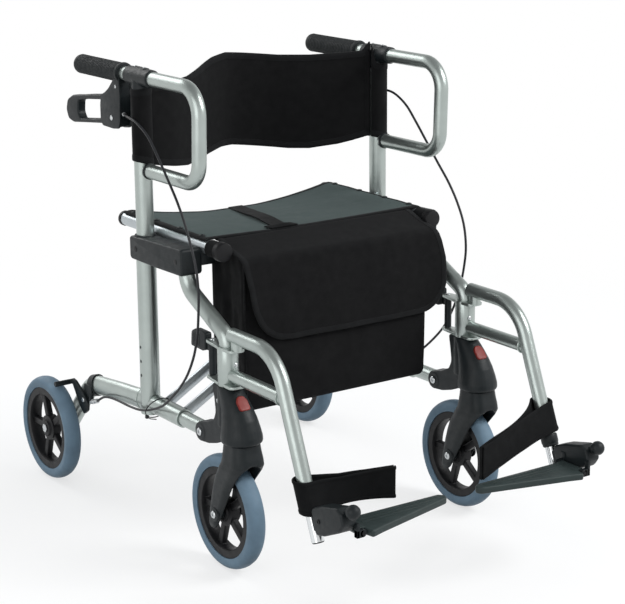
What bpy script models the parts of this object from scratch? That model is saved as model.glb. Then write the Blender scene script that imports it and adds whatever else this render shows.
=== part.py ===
"""Folding rollator that doubles as a transit chair, modelled piece by piece in metres.

The front, where the footrests and casters are, faces -Y. The sitter's right side is -X.
Each side frame is built twice by the same functions, with side -1 for right and +1 for left.
"""
import math

import bmesh
import bpy
from mathutils import Matrix, Quaternion, Vector

# Clearances
GAP = 0.0003

# Overall layout
FRAME_X = 0.252
WHEEL_RADIUS = 0.100
WHEEL_HALF_WIDTH = 0.016
REAR_WHEEL_X = 0.2926
REAR_AXLE_Y = 0.28935
FRONT_AXLE_Y = -0.28935

# Side frame tubes
POST_Y = -0.033
POST_RADIUS = 0.0175
POST_FOOT_Z = 0.207
POST_TOP_Z = 0.529
POST_HOLE_RADIUS = 0.0028
POST_HOLE_Z = 0.280
POST_HOLE_STEP = 0.026
POST_HOLES = 3
RAIL_Z = 0.228
RAIL_RADIUS = 0.0135
STAY_HALF_HEIGHT = 0.0185
STAY_HALF_WIDTH = 0.0135
STAY_PATH = ((0.069, 0.219), (0.189, 0.206), (0.296, 0.0926))
STAY_BEND_RADIUS = 0.090
LEG_Y = -0.299
LEG_RADIUS = 0.0140
LEG_TOP = (-0.170, 0.530)
LEG_UPPER_CORNER = (-0.172, 0.470)
LEG_LOWER_CORNER_Z = 0.409
LEG_FOOT_Z = 0.262
LEG_BENDS = (0.045, 0.026)

# Seat support
SEAT_RAIL_X = 0.220
SEAT_RAIL_Z = 0.537
SEAT_RAIL_RADIUS = 0.0125
SEAT_RAIL_REAR_Y = 0.100
SEAT_RAIL_FRONT_Y = -0.245
SEAT_CAP_RADIUS = 0.0165
SEAT_CAP_LENGTH = 0.017
BRACKET_OUTLINE = ((0.012, 0.483), (0.012, 0.530), (-0.205, 0.542), (-0.205, 0.496))
BRACKET_WIDTH = 0.043
SADDLE_Y = (-0.036, -0.176)
SADDLE_LENGTH = 0.026
SADDLE_Z = (0.506, 0.5315)
SADDLE_INNER_X = 0.204

# Folding cross braces
BRACE_PIVOT_Z = 0.376
BRACE_RADIUS = 0.0095
BRACE_TUBE_Y = {-1: (-0.075, -0.140), 1: (-0.097, -0.1185)}
BRACE_SLEEVE_Y = (-0.053, -0.152)
BRACE_SLEEVE_WALL = 0.003
BRACE_BOLT_RADIUS = 0.0040
BRACE_BOLT_HEAD = 0.0080
BRACE_BOLT_Y = (-0.058, -0.157)

# Handle assembly on the telescoping post
UPPER_POST_RADIUS = 0.0157
UPPER_POST_FOOT_Z = 0.318
HANDLE_Z = 0.811
UPPER_POST_TOP_Z = HANDLE_Z - 0.0253
ARM_RADIUS = 0.0125
ARM_FRONT_Y = -0.2200
ARM_LOWER_Z = 0.650
ARM_TOP_BEND = 0.046
ARM_LOWER_BEND = 0.040
ARM_REAR_Y = 0.180
CLAMP_RADIUS = 0.0155
CLAMP_Y = (0.005, -0.075)
GRIP_RADIUS = 0.0175
GRIP_Y = (0.038, 0.187)
BRAKE_RING_Y = (0.010, 0.036)
BRAKE_RING_RADIUS = 0.0172
BRAKE_BODY_WIDTH = 0.026
BRAKE_SLOT_WIDTH = 0.0186
BRAKE_PIVOT = (0.052, HANDLE_Z - 0.081)
BRAKE_PIN_RADIUS = 0.0035
BRAKE_SLOT_Y = (0.036, 0.130)
BRAKE_SLOT_BELOW = (0.111, 0.039)
BRAKE_BODY_BELOW = ((0.012, 0.005), (0.0340, 0.005), (0.0370, 0.0195), (0.066, 0.035),
                    (0.098, 0.059), (0.100, 0.095), (0.090, 0.105), (0.042, 0.105), (0.030, 0.089))
BRAKE_BODY_CORNERS = (0.006, 0.001, 0.0, 0.006, 0.010, 0.006, 0.004, 0.006, 0.010)
LEVER_WIDTH = 0.018
LEVER_BELOW = ((0.044, 0.089), (0.046, 0.071), (0.100, 0.062), (0.208, 0.060), (0.232, 0.069),
               (0.239, 0.090), (0.229, 0.110), (0.200, 0.114), (0.100, 0.103))
LEVER_CORNERS = (0.005, 0.005, 0.03, 0.02, 0.012, 0.014, 0.012, 0.02, 0.03)
LEVER_WINDOW_BELOW = ((0.114, 0.070), (0.172, 0.068), (0.187, 0.097), (0.124, 0.095))

# Swing-away hanger and footrest
HANGER_SLEEVE_RADIUS = 0.0180
HANGER_FOOT_Z = 0.3268
HANGER_TOP_Z = 0.3945
HANGER_PLATE = 0.0055
HANGER_LUG_Y = -0.250
HANGER_LUG_RADIUS = 0.0090
HANGER_NOSE_Y = -0.333
HANGER_TUBE_RADIUS = 0.0125
HANGER_TUBE_Z = 0.416
HANGER_CORNER_Y = -0.444
HANGER_SLOPE = 0.404
HANGER_BEND = 0.080
HANGER_ROOT_BEND = 0.015
HANGER_END_Z = 0.192
HANGER_BRACE_Z = 0.346
HANGER_BRACE_RADIUS = 0.0115
LATCH_OUTLINE = ((-0.2405, 0.372), (-0.2405, 0.4015), (-0.202, 0.403), (-0.200, 0.372))
LATCH_WIDTH = 0.014
LATCH_KNUCKLE = 0.0065
LATCH_PIN_RADIUS = 0.0025
INNER_TUBE_RADIUS = 0.0105
INNER_TUBE_TOP_Z = 0.300
INNER_TUBE_END_Z = 0.142
COLLAR_RADIUS = 0.0155
COLLAR_LENGTH = 0.018
FOOT_BLOCK_Z = 0.163
FOOT_BLOCK_LENGTH = 0.103
FOOT_BLOCK_HALF_HEIGHT = 0.022
FOOT_BLOCK_WIDTH = 0.028
FOOT_BLOCK_RISE = math.radians(21.0)
KNOB_RADIUS = 0.012
KNOB_REACH = 0.024
PLATE_THICKNESS = 0.013
PLATE_AXIS_X = 0.229
PLATE_AXIS_Z = 0.1715
PLATE_REAR_Y = -0.5905
PLATE_KNUCKLE_LENGTH = 0.0495
PLATE_KNUCKLE_FRONT_Y = PLATE_REAR_Y - PLATE_KNUCKLE_LENGTH
PLATE_OUTLINE = ((0.222, -0.5905), (0.040, -0.592), (0.031, -0.602), (0.036, -0.612),
                 (0.193, -0.652), (0.218, -0.660), (0.222, -0.640))
PLATE_PIN_RADIUS = 0.0030
PLATE_EAR_LENGTH = 0.010
PLATE_EAR_WEB = 0.0018
PLATE_EAR_RISE = 0.018
STRAP_HEIGHT = 0.052
STRAP_THICKNESS = 0.0030
STRAP_TUBE_Z = 0.236
STRAP_END = (0.088, -0.588, 0.209)

# Caster
SWIVEL_Y = -0.33735
HOUSING_SOCKET_TOP_Z = 0.3265
HOUSING_FOOT_Z = 0.238
EAR_Y = -0.227
EAR_RADIUS = 0.017
EAR_WIDTH = 0.030
WEB_OUTLINE = ((-0.227, 0.245), (-0.262, 0.262), (-0.283, 0.272), (-0.287, 0.292), (-0.281, 0.3265),
               (-0.312, 0.3265), (-0.335, 0.246), (-0.3095, 0.2395), (-0.298, 0.227), (-0.283, 0.222),
               (-0.227, 0.211))
STEM_RADIUS = 0.008
STEM_TOP_Z = 0.276
COLLAR_TOP_Z = 0.2377
FORK_SLOT_HALF = 0.019
FORK_SLOT_RADIUS = 0.106
AXLE_RADIUS = 0.005

# Wheel
RIM_RADIUS = 0.0797
RIM_INNER_RADIUS = 0.066
RIM_HALF_WIDTH = 0.0125
HUB_RADIUS = 0.016
HUB_HALF_WIDTH = 0.013
HUB_BORE = 0.0053
SPOKES = 5
SPOKE_HALF_WIDTH = 0.0085
SPOKE_THICKNESS = 0.012
TYRE_BORE = 0.0800

# Wheel brake on the rear stay
BRAKE_MOUNT_AT = (0.172, 0.2064)
BRAKE_MOUNT_SLOPE = math.radians(-16.6)
BRAKE_MOUNT_CLEARANCE = 0.0014
BRAKE_MOUNT_LENGTH = 0.020
BRAKE_MOUNT_WALL = 0.0045
BRAKE_LUG_OUTLINE = ((0.164, 0.204), (0.164, 0.191), (0.178, 0.171), (0.194, 0.171), (0.194, 0.185),
                     (0.180, 0.196), (0.178, 0.204))
BRAKE_LUG_THICKNESS = 0.0024
BRAKE_ARM_PIVOT = (0.186, 0.178)
BRAKE_ARM_X = 0.2715
BRAKE_ARM_THICKNESS = 0.005
BRAKE_ARM_OUTLINE = ((0.180, 0.150), (0.196, 0.149), (0.194, 0.170), (0.214, 0.207), (0.262, 0.201),
                     (0.266, 0.209), (0.209, 0.217), (0.201, 0.212), (0.178, 0.180))
BRAKE_SHOE_AT = (0.2625, 0.2052)
BRAKE_SHOE_RADIUS = 0.0050
BRAKE_SHOE_REACH = 0.303
BARREL_RADIUS = 0.0045
BARREL_FROM = (0.134, 0.189)
BARREL_TO = (0.160, 0.180)
BARREL_HOLDER = (0.168, 0.190)

# Brake cable, from the lever body to the barrel, as distance out, depth and height
CABLE_RADIUS = 0.0022
CABLE_ROUTE = ((0.2520, 0.0245, 0.7180), (0.2610, 0.0070, 0.7130), (0.2725, -0.0110, 0.7060),
               (0.2750, -0.0420, 0.6950), (0.2750, -0.0800, 0.6780), (0.2750, -0.1250, 0.6510),
               (0.2755, -0.1680, 0.6160), (0.2775, -0.2020, 0.5800), (0.2790, -0.2240, 0.5350),
               (0.2790, -0.2450, 0.4800), (0.2790, -0.2510, 0.4200), (0.2790, -0.2420, 0.3700),
               (0.2790, -0.2200, 0.3290), (0.2790, -0.1840, 0.2900), (0.2790, -0.1450, 0.2580),
               (0.2790, -0.0960, 0.2360), (0.2785, -0.0500, 0.2210), (0.2770, -0.0050, 0.2130),
               (0.2745, 0.0600, 0.2090), (0.2715, 0.1050, 0.2000), (0.2715, 0.1335, 0.1892))
CABLE_POINTS = 22
CABLE_BULGE = {-1: 0.0, 1: 0.018}

# Soft goods
SEAT_REAR_Y = 0.085
SEAT_FRONT_Y = -0.195
SEAT_HALF_WIDTH = 0.228
SEAT_EDGE_LAP = 0.016
SEAT_FLAT_HALF = SEAT_HALF_WIDTH - SEAT_EDGE_LAP
SEAT_COLUMNS = 14
SEAT_SAG_REAR = 0.019
SEAT_SAG_FRONT = 0.0015
SEAT_THICKNESS = 0.003
BACKREST_DEPTH = 0.118
BACKREST_BOW_HALF = 0.185
BACKREST_MID_Z = (HANDLE_Z - 0.091, HANDLE_Z - 0.075)
BACKREST_HEIGHT = (0.148, 0.172)
BACKREST_THICKNESS = 0.003
BACKREST_SLEEVE_RADIUS = 0.0180
BAG_X = (-0.182, 0.200)
BAG_Y = (-0.262, -0.160)
BAG_Z = (0.254, 0.520)
FLAP_PATH = ((-0.186, 0.5472), (-0.252, 0.539), (-0.265, 0.522), (-0.267, 0.368))
FLAP_THICKNESS = 0.006

# Surface colours, roughness and metallic values
FINISHES = {
    "satin_aluminium": ((0.62, 0.66, 0.62), 0.34, 1.0),
    "chrome": ((0.80, 0.81, 0.82), 0.12, 1.0),
    "charcoal_plastic": ((0.025, 0.030, 0.033), 0.48, 0.0),
    "footplate_plastic": ((0.058, 0.078, 0.072), 0.50, 0.0),
    "grip_rubber": ((0.022, 0.025, 0.026), 0.70, 0.0),
    "tyre_rubber": ((0.115, 0.185, 0.270), 0.60, 0.0),
    "cable_sheath": ((0.015, 0.016, 0.018), 0.45, 0.0),
    "seat_fabric": ((0.078, 0.100, 0.096), 0.85, 0.0),
    "black_fabric": ((0.008, 0.008, 0.009), 0.85, 0.0),
    "black_webbing": ((0.010, 0.011, 0.011), 0.80, 0.0),
}

TUBE_SIDES = 14
WHEEL_STEPS = 24
ALONG_X = Vector((1, 0, 0))
ALONG_Y = Vector((0, 1, 0))


# Scene set-up

def clear_scene():
    for obj in list(bpy.data.objects):
        bpy.data.objects.remove(obj, do_unlink=True)


def new_collection(name):
    collection = bpy.data.collections.new(name)
    bpy.context.scene.collection.children.link(collection)
    return collection


def make_material(name, colour, roughness, metallic):
    material = bpy.data.materials.new(name)
    material.use_nodes = True
    shader = material.node_tree.nodes["Principled BSDF"]
    shader.inputs["Base Color"].default_value = (*colour, 1.0)
    shader.inputs["Roughness"].default_value = roughness
    shader.inputs["Metallic"].default_value = metallic
    material.diffuse_color = (*colour, 1.0)
    return material


clear_scene()
PARTS = new_collection("rollator")
CUTTERS = new_collection("cutters")
MATERIALS = {name: make_material(name, *finish) for name, finish in FINISHES.items()}


# Modelling helpers

def add_object(name, data):
    obj = bpy.data.objects.new(name, data)
    PARTS.objects.link(obj)
    return obj


def face_along(direction):
    return Vector((0, 0, 1)).rotation_difference(Vector(direction))


def set_place(obj, location, turn):
    obj.location = location
    obj.rotation_mode = "QUATERNION"
    obj.rotation_quaternion = turn


def shade(mesh):
    mesh.shade_smooth()
    mesh.set_sharp_from_angle(angle=math.radians(38))


def rod(start, end, radius, sides=TUBE_SIDES, end_radius=None):
    """Solid round bar, or a taper, between two points."""
    start, end = Vector(start), Vector(end)
    bm = bmesh.new()
    bmesh.ops.create_cone(bm, cap_ends=True, segments=sides, radius1=radius,
                          radius2=radius if end_radius is None else end_radius,
                          depth=(end - start).length)
    mesh = bpy.data.meshes.new("rod")
    bm.to_mesh(mesh)
    bm.free()
    shade(mesh)
    obj = add_object("rod", mesh)
    set_place(obj, (start + end) / 2, face_along(end - start))
    return obj


def clear_radius(radius, sides=TUBE_SIDES):
    """Radius of a bore's corners that keeps its flats a gap clear of a shaft."""
    return (radius + GAP) / math.cos(math.pi / sides)


def bore(start, end, radius, sides=TUBE_SIDES):
    """Cutter for a running fit round a shaft of this radius."""
    return rod(start, end, clear_radius(radius, sides), sides)


def box(low, high):
    low, high = Vector(low), Vector(high)
    bm = bmesh.new()
    bmesh.ops.create_cube(bm, size=1.0)
    bmesh.ops.scale(bm, vec=high - low, verts=bm.verts)
    mesh = bpy.data.meshes.new("box")
    bm.to_mesh(mesh)
    bm.free()
    obj = add_object("box", mesh)
    obj.location = (low + high) / 2
    return obj


def as_mesh(obj):
    """Turn a curve or a modified object into a plain welded mesh."""
    graph = bpy.context.evaluated_depsgraph_get()
    mesh = bpy.data.meshes.new_from_object(obj.evaluated_get(graph))
    bm = bmesh.new()
    bm.from_mesh(mesh)
    bmesh.ops.remove_doubles(bm, verts=bm.verts, dist=1e-6)
    bmesh.ops.recalc_face_normals(bm, faces=bm.faces)
    bm.to_mesh(mesh)
    bm.free()
    shade(mesh)
    solid = add_object(obj.name, mesh)
    solid.rotation_mode = "QUATERNION"
    solid.matrix_world = obj.matrix_world
    bpy.data.objects.remove(obj, do_unlink=True)
    return solid


def turned(profile, origin, direction, steps=TUBE_SIDES):
    """Solid of revolution: the profile gives radius and height along the direction."""
    mesh = bpy.data.meshes.new("turned")
    closed = profile[0][0] > 0
    count = len(profile)
    edges = [(i, i + 1) for i in range(count - 1)]
    if closed:
        edges.append((count - 1, 0))
    mesh.from_pydata([(radius, 0, height) for radius, height in profile], edges, [])
    obj = add_object("turned", mesh)
    screw = obj.modifiers.new("screw", "SCREW")
    screw.steps = steps
    screw.render_steps = steps
    screw.use_merge_vertices = True
    screw.merge_threshold = 1e-5
    set_place(obj, origin, face_along(direction))
    bpy.context.view_layer.update()
    return as_mesh(obj)


def sleeve(start, end, outer, inner, steps=TUBE_SIDES):
    start, end = Vector(start), Vector(end)
    length = (end - start).length
    profile = ((inner, 0), (inner, length), (outer, length), (outer, 0))
    return turned(profile, start, end - start, steps)


def bend(points, radius, closed=False, turn_step=18.0):
    """Round the corners of a path or outline with arcs."""
    points = [Vector(p).to_3d() for p in points]
    radii = radius if isinstance(radius, (list, tuple)) else [radius] * len(points)
    result = []
    count = len(points)
    for i, corner in enumerate(points):
        if not closed and i in (0, count - 1):
            result.append(corner)
            continue
        back = (points[i - 1] - corner).normalized()
        ahead = (points[(i + 1) % count] - corner).normalized()
        turn = math.pi - back.angle(ahead)
        arc_radius = radii[i - 1] if not closed and len(radii) == count - 2 else radii[i]
        if turn < 0.02 or arc_radius <= 0:
            result.append(corner)
            continue
        reach = arc_radius * math.tan(turn / 2)
        centre = corner + (back + ahead).normalized() * (arc_radius / math.cos(turn / 2))
        first = corner + back * reach - centre
        axis = first.cross(corner + ahead * reach - centre).normalized()
        steps = max(1, round(math.degrees(turn) / turn_step))
        for k in range(steps + 1):
            result.append(centre + Quaternion(axis, turn * k / steps) @ first)
    return result


def tube(path, radius, resolution=4):
    """Round tube along a path of points, with closed ends."""
    start = Vector(path[0])
    curve = bpy.data.curves.new("tube", "CURVE")
    curve.dimensions = "3D"
    spline = curve.splines.new("POLY")
    spline.points.add(len(path) - 1)
    for point, place in zip(spline.points, path):
        point.co = (*(Vector(place) - start), 1)
    curve.bevel_depth = radius
    curve.bevel_resolution = resolution
    curve.use_fill_caps = True
    obj = add_object("tube", curve)
    obj.location = start
    return obj


def slab(outline, thickness, centre, plane="YZ", holes=()):
    """Flat outline given half its thickness to each side of its plane."""
    curve = bpy.data.curves.new("slab", "CURVE")
    curve.dimensions = "2D"
    curve.fill_mode = "BOTH"
    curve.extrude = thickness / 2
    for ring in (outline, *holes):
        spline = curve.splines.new("POLY")
        spline.points.add(len(ring) - 1)
        spline.use_cyclic_u = True
        for point, place in zip(spline.points, ring):
            point.co = (place[0], place[1], 0, 1)
    obj = add_object("slab", curve)
    turns = {"YZ": (math.pi / 2, 0, math.pi / 2), "XY": (0, 0, 0)}
    obj.location = centre
    obj.rotation_euler = turns[plane]
    bpy.context.view_layer.update()
    return as_mesh(obj)


def circle(centre, radius, steps=24):
    return [(centre[0] + radius * math.cos(2 * math.pi * k / steps),
             centre[1] + radius * math.sin(2 * math.pi * k / steps)) for k in range(steps)]


def loft(sections, steps=20):
    """Skin over level rings given as height, centre x and y, and half sizes in x and y."""
    bm = bmesh.new()
    rings = []
    for height, centre_x, centre_y, half_x, half_y, power in sections:
        ring = []
        for k in range(steps):
            angle = 2 * math.pi * k / steps
            cos, sin = math.cos(angle), math.sin(angle)
            x = centre_x + half_x * math.copysign(abs(cos) ** (2 / power), cos)
            y = centre_y + half_y * math.copysign(abs(sin) ** (2 / power), sin)
            ring.append(bm.verts.new((x, y, height)))
        rings.append(ring)
    for lower, upper in zip(rings, rings[1:]):
        for k in range(steps):
            bm.faces.new((lower[k], lower[(k + 1) % steps], upper[(k + 1) % steps], upper[k]))
    bm.faces.new(rings[0])
    bm.faces.new(rings[-1])
    bmesh.ops.recalc_face_normals(bm, faces=bm.faces)
    mesh = bpy.data.meshes.new("loft")
    bm.to_mesh(mesh)
    bm.free()
    shade(mesh)
    return add_object("loft", mesh)


def combine(obj, other, operation):
    """Cut another solid out of this one, or join it on; the other becomes a guide."""
    modifier = obj.modifiers.new(operation.lower(), "BOOLEAN")
    modifier.operation = operation
    modifier.solver = "EXACT"
    modifier.object = other
    PARTS.objects.unlink(other)
    CUTTERS.objects.link(other)
    other.parent = ROOT
    other.hide_render = True
    other.display_type = "WIRE"
    return obj


def cut(obj, *others):
    for other in others:
        combine(obj, other, "DIFFERENCE")
    return obj


def fuse(obj, *others):
    for other in others:
        combine(obj, other, "UNION")
    return obj


def body(name, location=(0, 0, 0)):
    """Empty on a joint axis, which carries the pieces that move together."""
    empty = bpy.data.objects.new(name, None)
    empty.empty_display_size = 0.02
    PARTS.objects.link(empty)
    empty.parent = ROOT
    empty.location = location
    return empty


def finish(obj, name, finish_name, carrier):
    """Name a piece, give it its material and hang it on the body that carries it."""
    obj.name = name
    obj.data.name = name
    obj.data.materials.clear()
    obj.data.materials.append(MATERIALS[finish_name])
    obj.parent = carrier
    obj.location = obj.location - carrier.location
    return obj


ROOT = bpy.data.objects.new("rollator_origin", None)
PARTS.objects.link(ROOT)


# Side frame

def post_cutter(x):
    return bore((x, POST_Y, POST_FOOT_Z - 0.03), (x, POST_Y, HANDLE_Z), POST_RADIUS, 24)


def make_post(side, x, carrier):
    post = sleeve((x, POST_Y, POST_FOOT_Z), (x, POST_Y, POST_TOP_Z), POST_RADIUS,
                  clear_radius(UPPER_POST_RADIUS, 24), 24)
    for k in range(POST_HOLES):
        z = POST_HOLE_Z + k * POST_HOLE_STEP
        hole = rod((x + side * POST_RADIUS * 0.8, POST_Y, z), (x + side * POST_RADIUS * 1.2, POST_Y, z),
                   POST_HOLE_RADIUS, 8)
        cut(post, hole)
    return finish(post, carrier["prefix"] + "post", "satin_aluminium", carrier)


def make_lower_rail(x, carrier):
    rail = rod((x, EAR_Y, RAIL_Z), (x, POST_Y, RAIL_Z), RAIL_RADIUS)
    ear = bore((x - 0.03, EAR_Y, RAIL_Z), (x + 0.03, EAR_Y, RAIL_Z), EAR_RADIUS)
    cut(rail, post_cutter(x), ear)
    return finish(rail, carrier["prefix"] + "lower_rail", "satin_aluminium", carrier)


def oval_section():
    """Guide outline of the rear stay's oval tube."""
    curve = bpy.data.curves.new("oval_section", "CURVE")
    curve.dimensions = "2D"
    spline = curve.splines.new("POLY")
    spline.points.add(TUBE_SIDES - 1)
    spline.use_cyclic_u = True
    for k, point in enumerate(spline.points):
        angle = 2 * math.pi * k / TUBE_SIDES
        point.co = (STAY_HALF_WIDTH * math.cos(angle), STAY_HALF_HEIGHT * math.sin(angle), 0, 1)
    obj = bpy.data.objects.new("oval_section", curve)
    CUTTERS.objects.link(obj)
    obj.hide_render = True
    obj.display_type = "WIRE"
    return obj


def make_rear_stay(side, x, carrier, section):
    points = [(x, POST_Y, RAIL_Z)] + [(x, y, z) for y, z in STAY_PATH]
    stay = tube(bend(points, [0.3, STAY_BEND_RADIUS], turn_step=8), STAY_HALF_HEIGHT)
    stay.data.bevel_mode = "OBJECT"
    stay.data.bevel_object = section
    stay.data.twist_mode = "Z_UP"
    bpy.context.view_layer.update()
    stay = as_mesh(stay)
    hub_face = REAR_WHEEL_X - HUB_HALF_WIDTH - GAP
    far_face = REAR_WHEEL_X + HUB_HALF_WIDTH + GAP
    y = REAR_AXLE_Y
    spacer = rod((side * FRAME_X, y, WHEEL_RADIUS), (side * hub_face, y, WHEEL_RADIUS), 0.009)
    axle = rod((side * FRAME_X, y, WHEEL_RADIUS), (side * (far_face + 0.001), y, WHEEL_RADIUS),
               AXLE_RADIUS, 12)
    head = rod((side * far_face, y, WHEEL_RADIUS), (side * (far_face + 0.003), y, WHEEL_RADIUS),
               0.0085, 12)
    cut(stay, post_cutter(x))
    fuse(stay, spacer, axle, head)
    return finish(stay, carrier["prefix"] + "rear_stay", "satin_aluminium", carrier)


def make_front_leg(x, carrier):
    points = [(x, *LEG_TOP), (x, *LEG_UPPER_CORNER), (x, LEG_Y, LEG_LOWER_CORNER_Z),
              (x, LEG_Y, LEG_FOOT_Z)]
    leg = tube(bend(points, list(LEG_BENDS)), LEG_RADIUS)
    return finish(leg, carrier["prefix"] + "front_leg", "satin_aluminium", carrier)


def seat_rail_cutter(side):
    x = side * SEAT_RAIL_X
    return bore((x, SEAT_RAIL_REAR_Y, SEAT_RAIL_Z), (x, SEAT_RAIL_FRONT_Y, SEAT_RAIL_Z),
                SEAT_RAIL_RADIUS)


def make_seat_bracket(side, x, carrier):
    outline = bend(BRACKET_OUTLINE, 0.008, closed=True, turn_step=30)
    bracket = slab(outline, BRACKET_WIDTH, (x, 0, 0))
    rounding = bracket.modifiers.new("rounding", "BEVEL")
    rounding.width = 0.004
    rounding.segments = 1
    rounding.limit_method = "ANGLE"
    rounding.angle_limit = math.radians(50)
    for y in SADDLE_Y:
        inner, outer = sorted((side * SADDLE_INNER_X, side * (FRAME_X - POST_RADIUS)))
        fuse(bracket, box((inner, y - SADDLE_LENGTH / 2, SADDLE_Z[0]),
                          (outer, y + SADDLE_LENGTH / 2, SADDLE_Z[1])))
    leg_top = Vector((x, LEG_TOP[0], LEG_TOP[1] + GAP))
    leg_low = Vector((x, *LEG_UPPER_CORNER))
    cut(bracket, post_cutter(x), bore(leg_low, leg_top, LEG_RADIUS), seat_rail_cutter(side))
    return finish(bracket, carrier["prefix"] + "seat_bracket", "charcoal_plastic", carrier)


def make_cable(side, carrier):
    route = []
    for out, depth, height in CABLE_ROUTE:
        lean = CABLE_BULGE[side] * max(0.0, math.sin(math.pi * (height - 0.38) / 0.24))
        if not 0.38 < height < 0.62:
            lean = 0.0
        route.append(Vector((side * out, depth - lean, height)))
    points = smooth_route(route, CABLE_POINTS)
    cable = tube(points, CABLE_RADIUS, 2)
    return finish(cable, carrier["prefix"] + "brake_cable", "cable_sheath", carrier)


def smooth_route(route, count):
    """Evenly spaced points of a smooth curve through the route's own points."""
    fine = []
    last = len(route) - 1
    for i in range(last):
        before, here = route[max(i - 1, 0)], route[i]
        there, after = route[i + 1], route[min(i + 2, last)]
        for k in range(8):
            t = k / 8
            fine.append(0.5 * (2 * here + (there - before) * t
                               + (2 * before - 5 * here + 4 * there - after) * t ** 2
                               + (3 * here - before - 3 * there + after) * t ** 3))
    fine.append(route[-1])
    travelled = [0.0]
    for here, there in zip(fine, fine[1:]):
        travelled.append(travelled[-1] + (there - here).length)
    points = []
    step = 0
    for k in range(count):
        target = travelled[-1] * k / (count - 1)
        while step < len(fine) - 2 and travelled[step + 1] < target:
            step += 1
        span = travelled[step + 1] - travelled[step]
        points.append(fine[step].lerp(fine[step + 1], (target - travelled[step]) / span))
    return points


# Casters and wheels

def make_caster_housing(x, carrier):
    sections = (
        (HOUSING_FOOT_Z, x, SWIVEL_Y, 0.0335, 0.0335, 2.0),
        (HOUSING_FOOT_Z + 0.006, x, SWIVEL_Y, 0.0355, 0.0360, 2.0),
        (0.262, x, SWIVEL_Y + 0.002, 0.0320, 0.0335, 2.0),
        (0.292, x, SWIVEL_Y + 0.012, 0.0255, 0.0290, 2.0),
        (0.312, x, SWIVEL_Y + 0.025, 0.0215, 0.0225, 2.0),
        (HOUSING_SOCKET_TOP_Z, x, LEG_Y - 0.001, 0.0195, 0.0200, 2.0),
    )
    housing = loft(sections, steps=16)
    web = slab(bend(WEB_OUTLINE, [0.001, 0.006, 0.008, 0.02, 0.004, 0.004, 0, 0, 0.01, 0.02, 0.001],
                    closed=True, turn_step=30), EAR_WIDTH - 0.002, (x, 0, 0))
    ear = rod((x - EAR_WIDTH / 2, EAR_Y, RAIL_Z), (x + EAR_WIDTH / 2, EAR_Y, RAIL_Z), EAR_RADIUS)
    socket = rod((x, LEG_Y, 0.256), (x, LEG_Y, HOUSING_SOCKET_TOP_Z), 0.0190, 16)
    fuse(housing, socket, web, ear)
    cut(housing,
        bore((x, LEG_Y, LEG_FOOT_Z - GAP), (x, LEG_Y, HOUSING_SOCKET_TOP_Z + 0.01), LEG_RADIUS),
        bore((x, SWIVEL_Y, HOUSING_FOOT_Z - 0.01), (x, SWIVEL_Y, STEM_TOP_Z + GAP), STEM_RADIUS, 12))
    return finish(housing, carrier["prefix"] + "caster_housing", "charcoal_plastic", carrier)


def make_fork(x, carrier):
    sections = (
        (0.0680, x, -0.2730, 0.0220, 0.0060, 3.0),
        (0.0760, x, -0.2760, 0.0250, 0.0130, 3.5),
        (0.1000, x, -0.2840, 0.0268, 0.0210, 4.5),
        (0.1300, x, -0.2965, 0.0280, 0.0265, 4.5),
        (0.1670, x, -0.3140, 0.0295, 0.0310, 4.5),
        (0.1900, x, -0.3320, 0.0310, 0.0350, 4.0),
        (0.2010, x, -0.3400, 0.0312, 0.0370, 3.5),
        (0.2150, x, -0.3400, 0.0290, 0.0330, 2.6),
        (0.2280, x, SWIVEL_Y, 0.0250, 0.0265, 2.0),
        (COLLAR_TOP_Z, x, SWIVEL_Y, 0.0245, 0.0245, 2.0),
    )
    fork = loft(sections, steps=18)
    axle = Vector((x, FRONT_AXLE_Y, WHEEL_RADIUS))
    cut(fork, rod(axle - ALONG_X * FORK_SLOT_HALF, axle + ALONG_X * FORK_SLOT_HALF,
                  FORK_SLOT_RADIUS, 26))
    pin = rod(axle - ALONG_X * 0.0275, axle + ALONG_X * 0.0275, AXLE_RADIUS, 12)
    stem = rod((x, SWIVEL_Y, COLLAR_TOP_Z - 0.004), (x, SWIVEL_Y, STEM_TOP_Z), STEM_RADIUS, 12)
    fuse(fork, pin, stem)
    for way in (-1, 1):
        near = axle + ALONG_X * way * (HUB_HALF_WIDTH + GAP)
        fuse(fork, rod(near, axle + ALONG_X * way * (FORK_SLOT_HALF + 0.002), 0.009, 12))
    return finish(fork, carrier["prefix"] + "caster_fork", "charcoal_plastic", carrier)


def spoke_window(index):
    """Opening between two spokes, bounded by the hub, the rim and the spokes' edges."""
    turn = 2 * math.pi / SPOKES
    start, end = index * turn, (index + 1) * turn
    inner, outer = HUB_RADIUS + 0.006, RIM_INNER_RADIUS + 0.001
    ring = []
    for radius, steps, backwards in ((outer, 3, False), (inner, 1, True)):
        slack = math.asin(SPOKE_HALF_WIDTH / radius)
        angles = [start + slack + (turn - 2 * slack) * k / steps for k in range(steps + 1)]
        if backwards:
            angles.reverse()
        ring += [(radius * math.cos(a), radius * math.sin(a)) for a in angles]
    return ring


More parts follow.
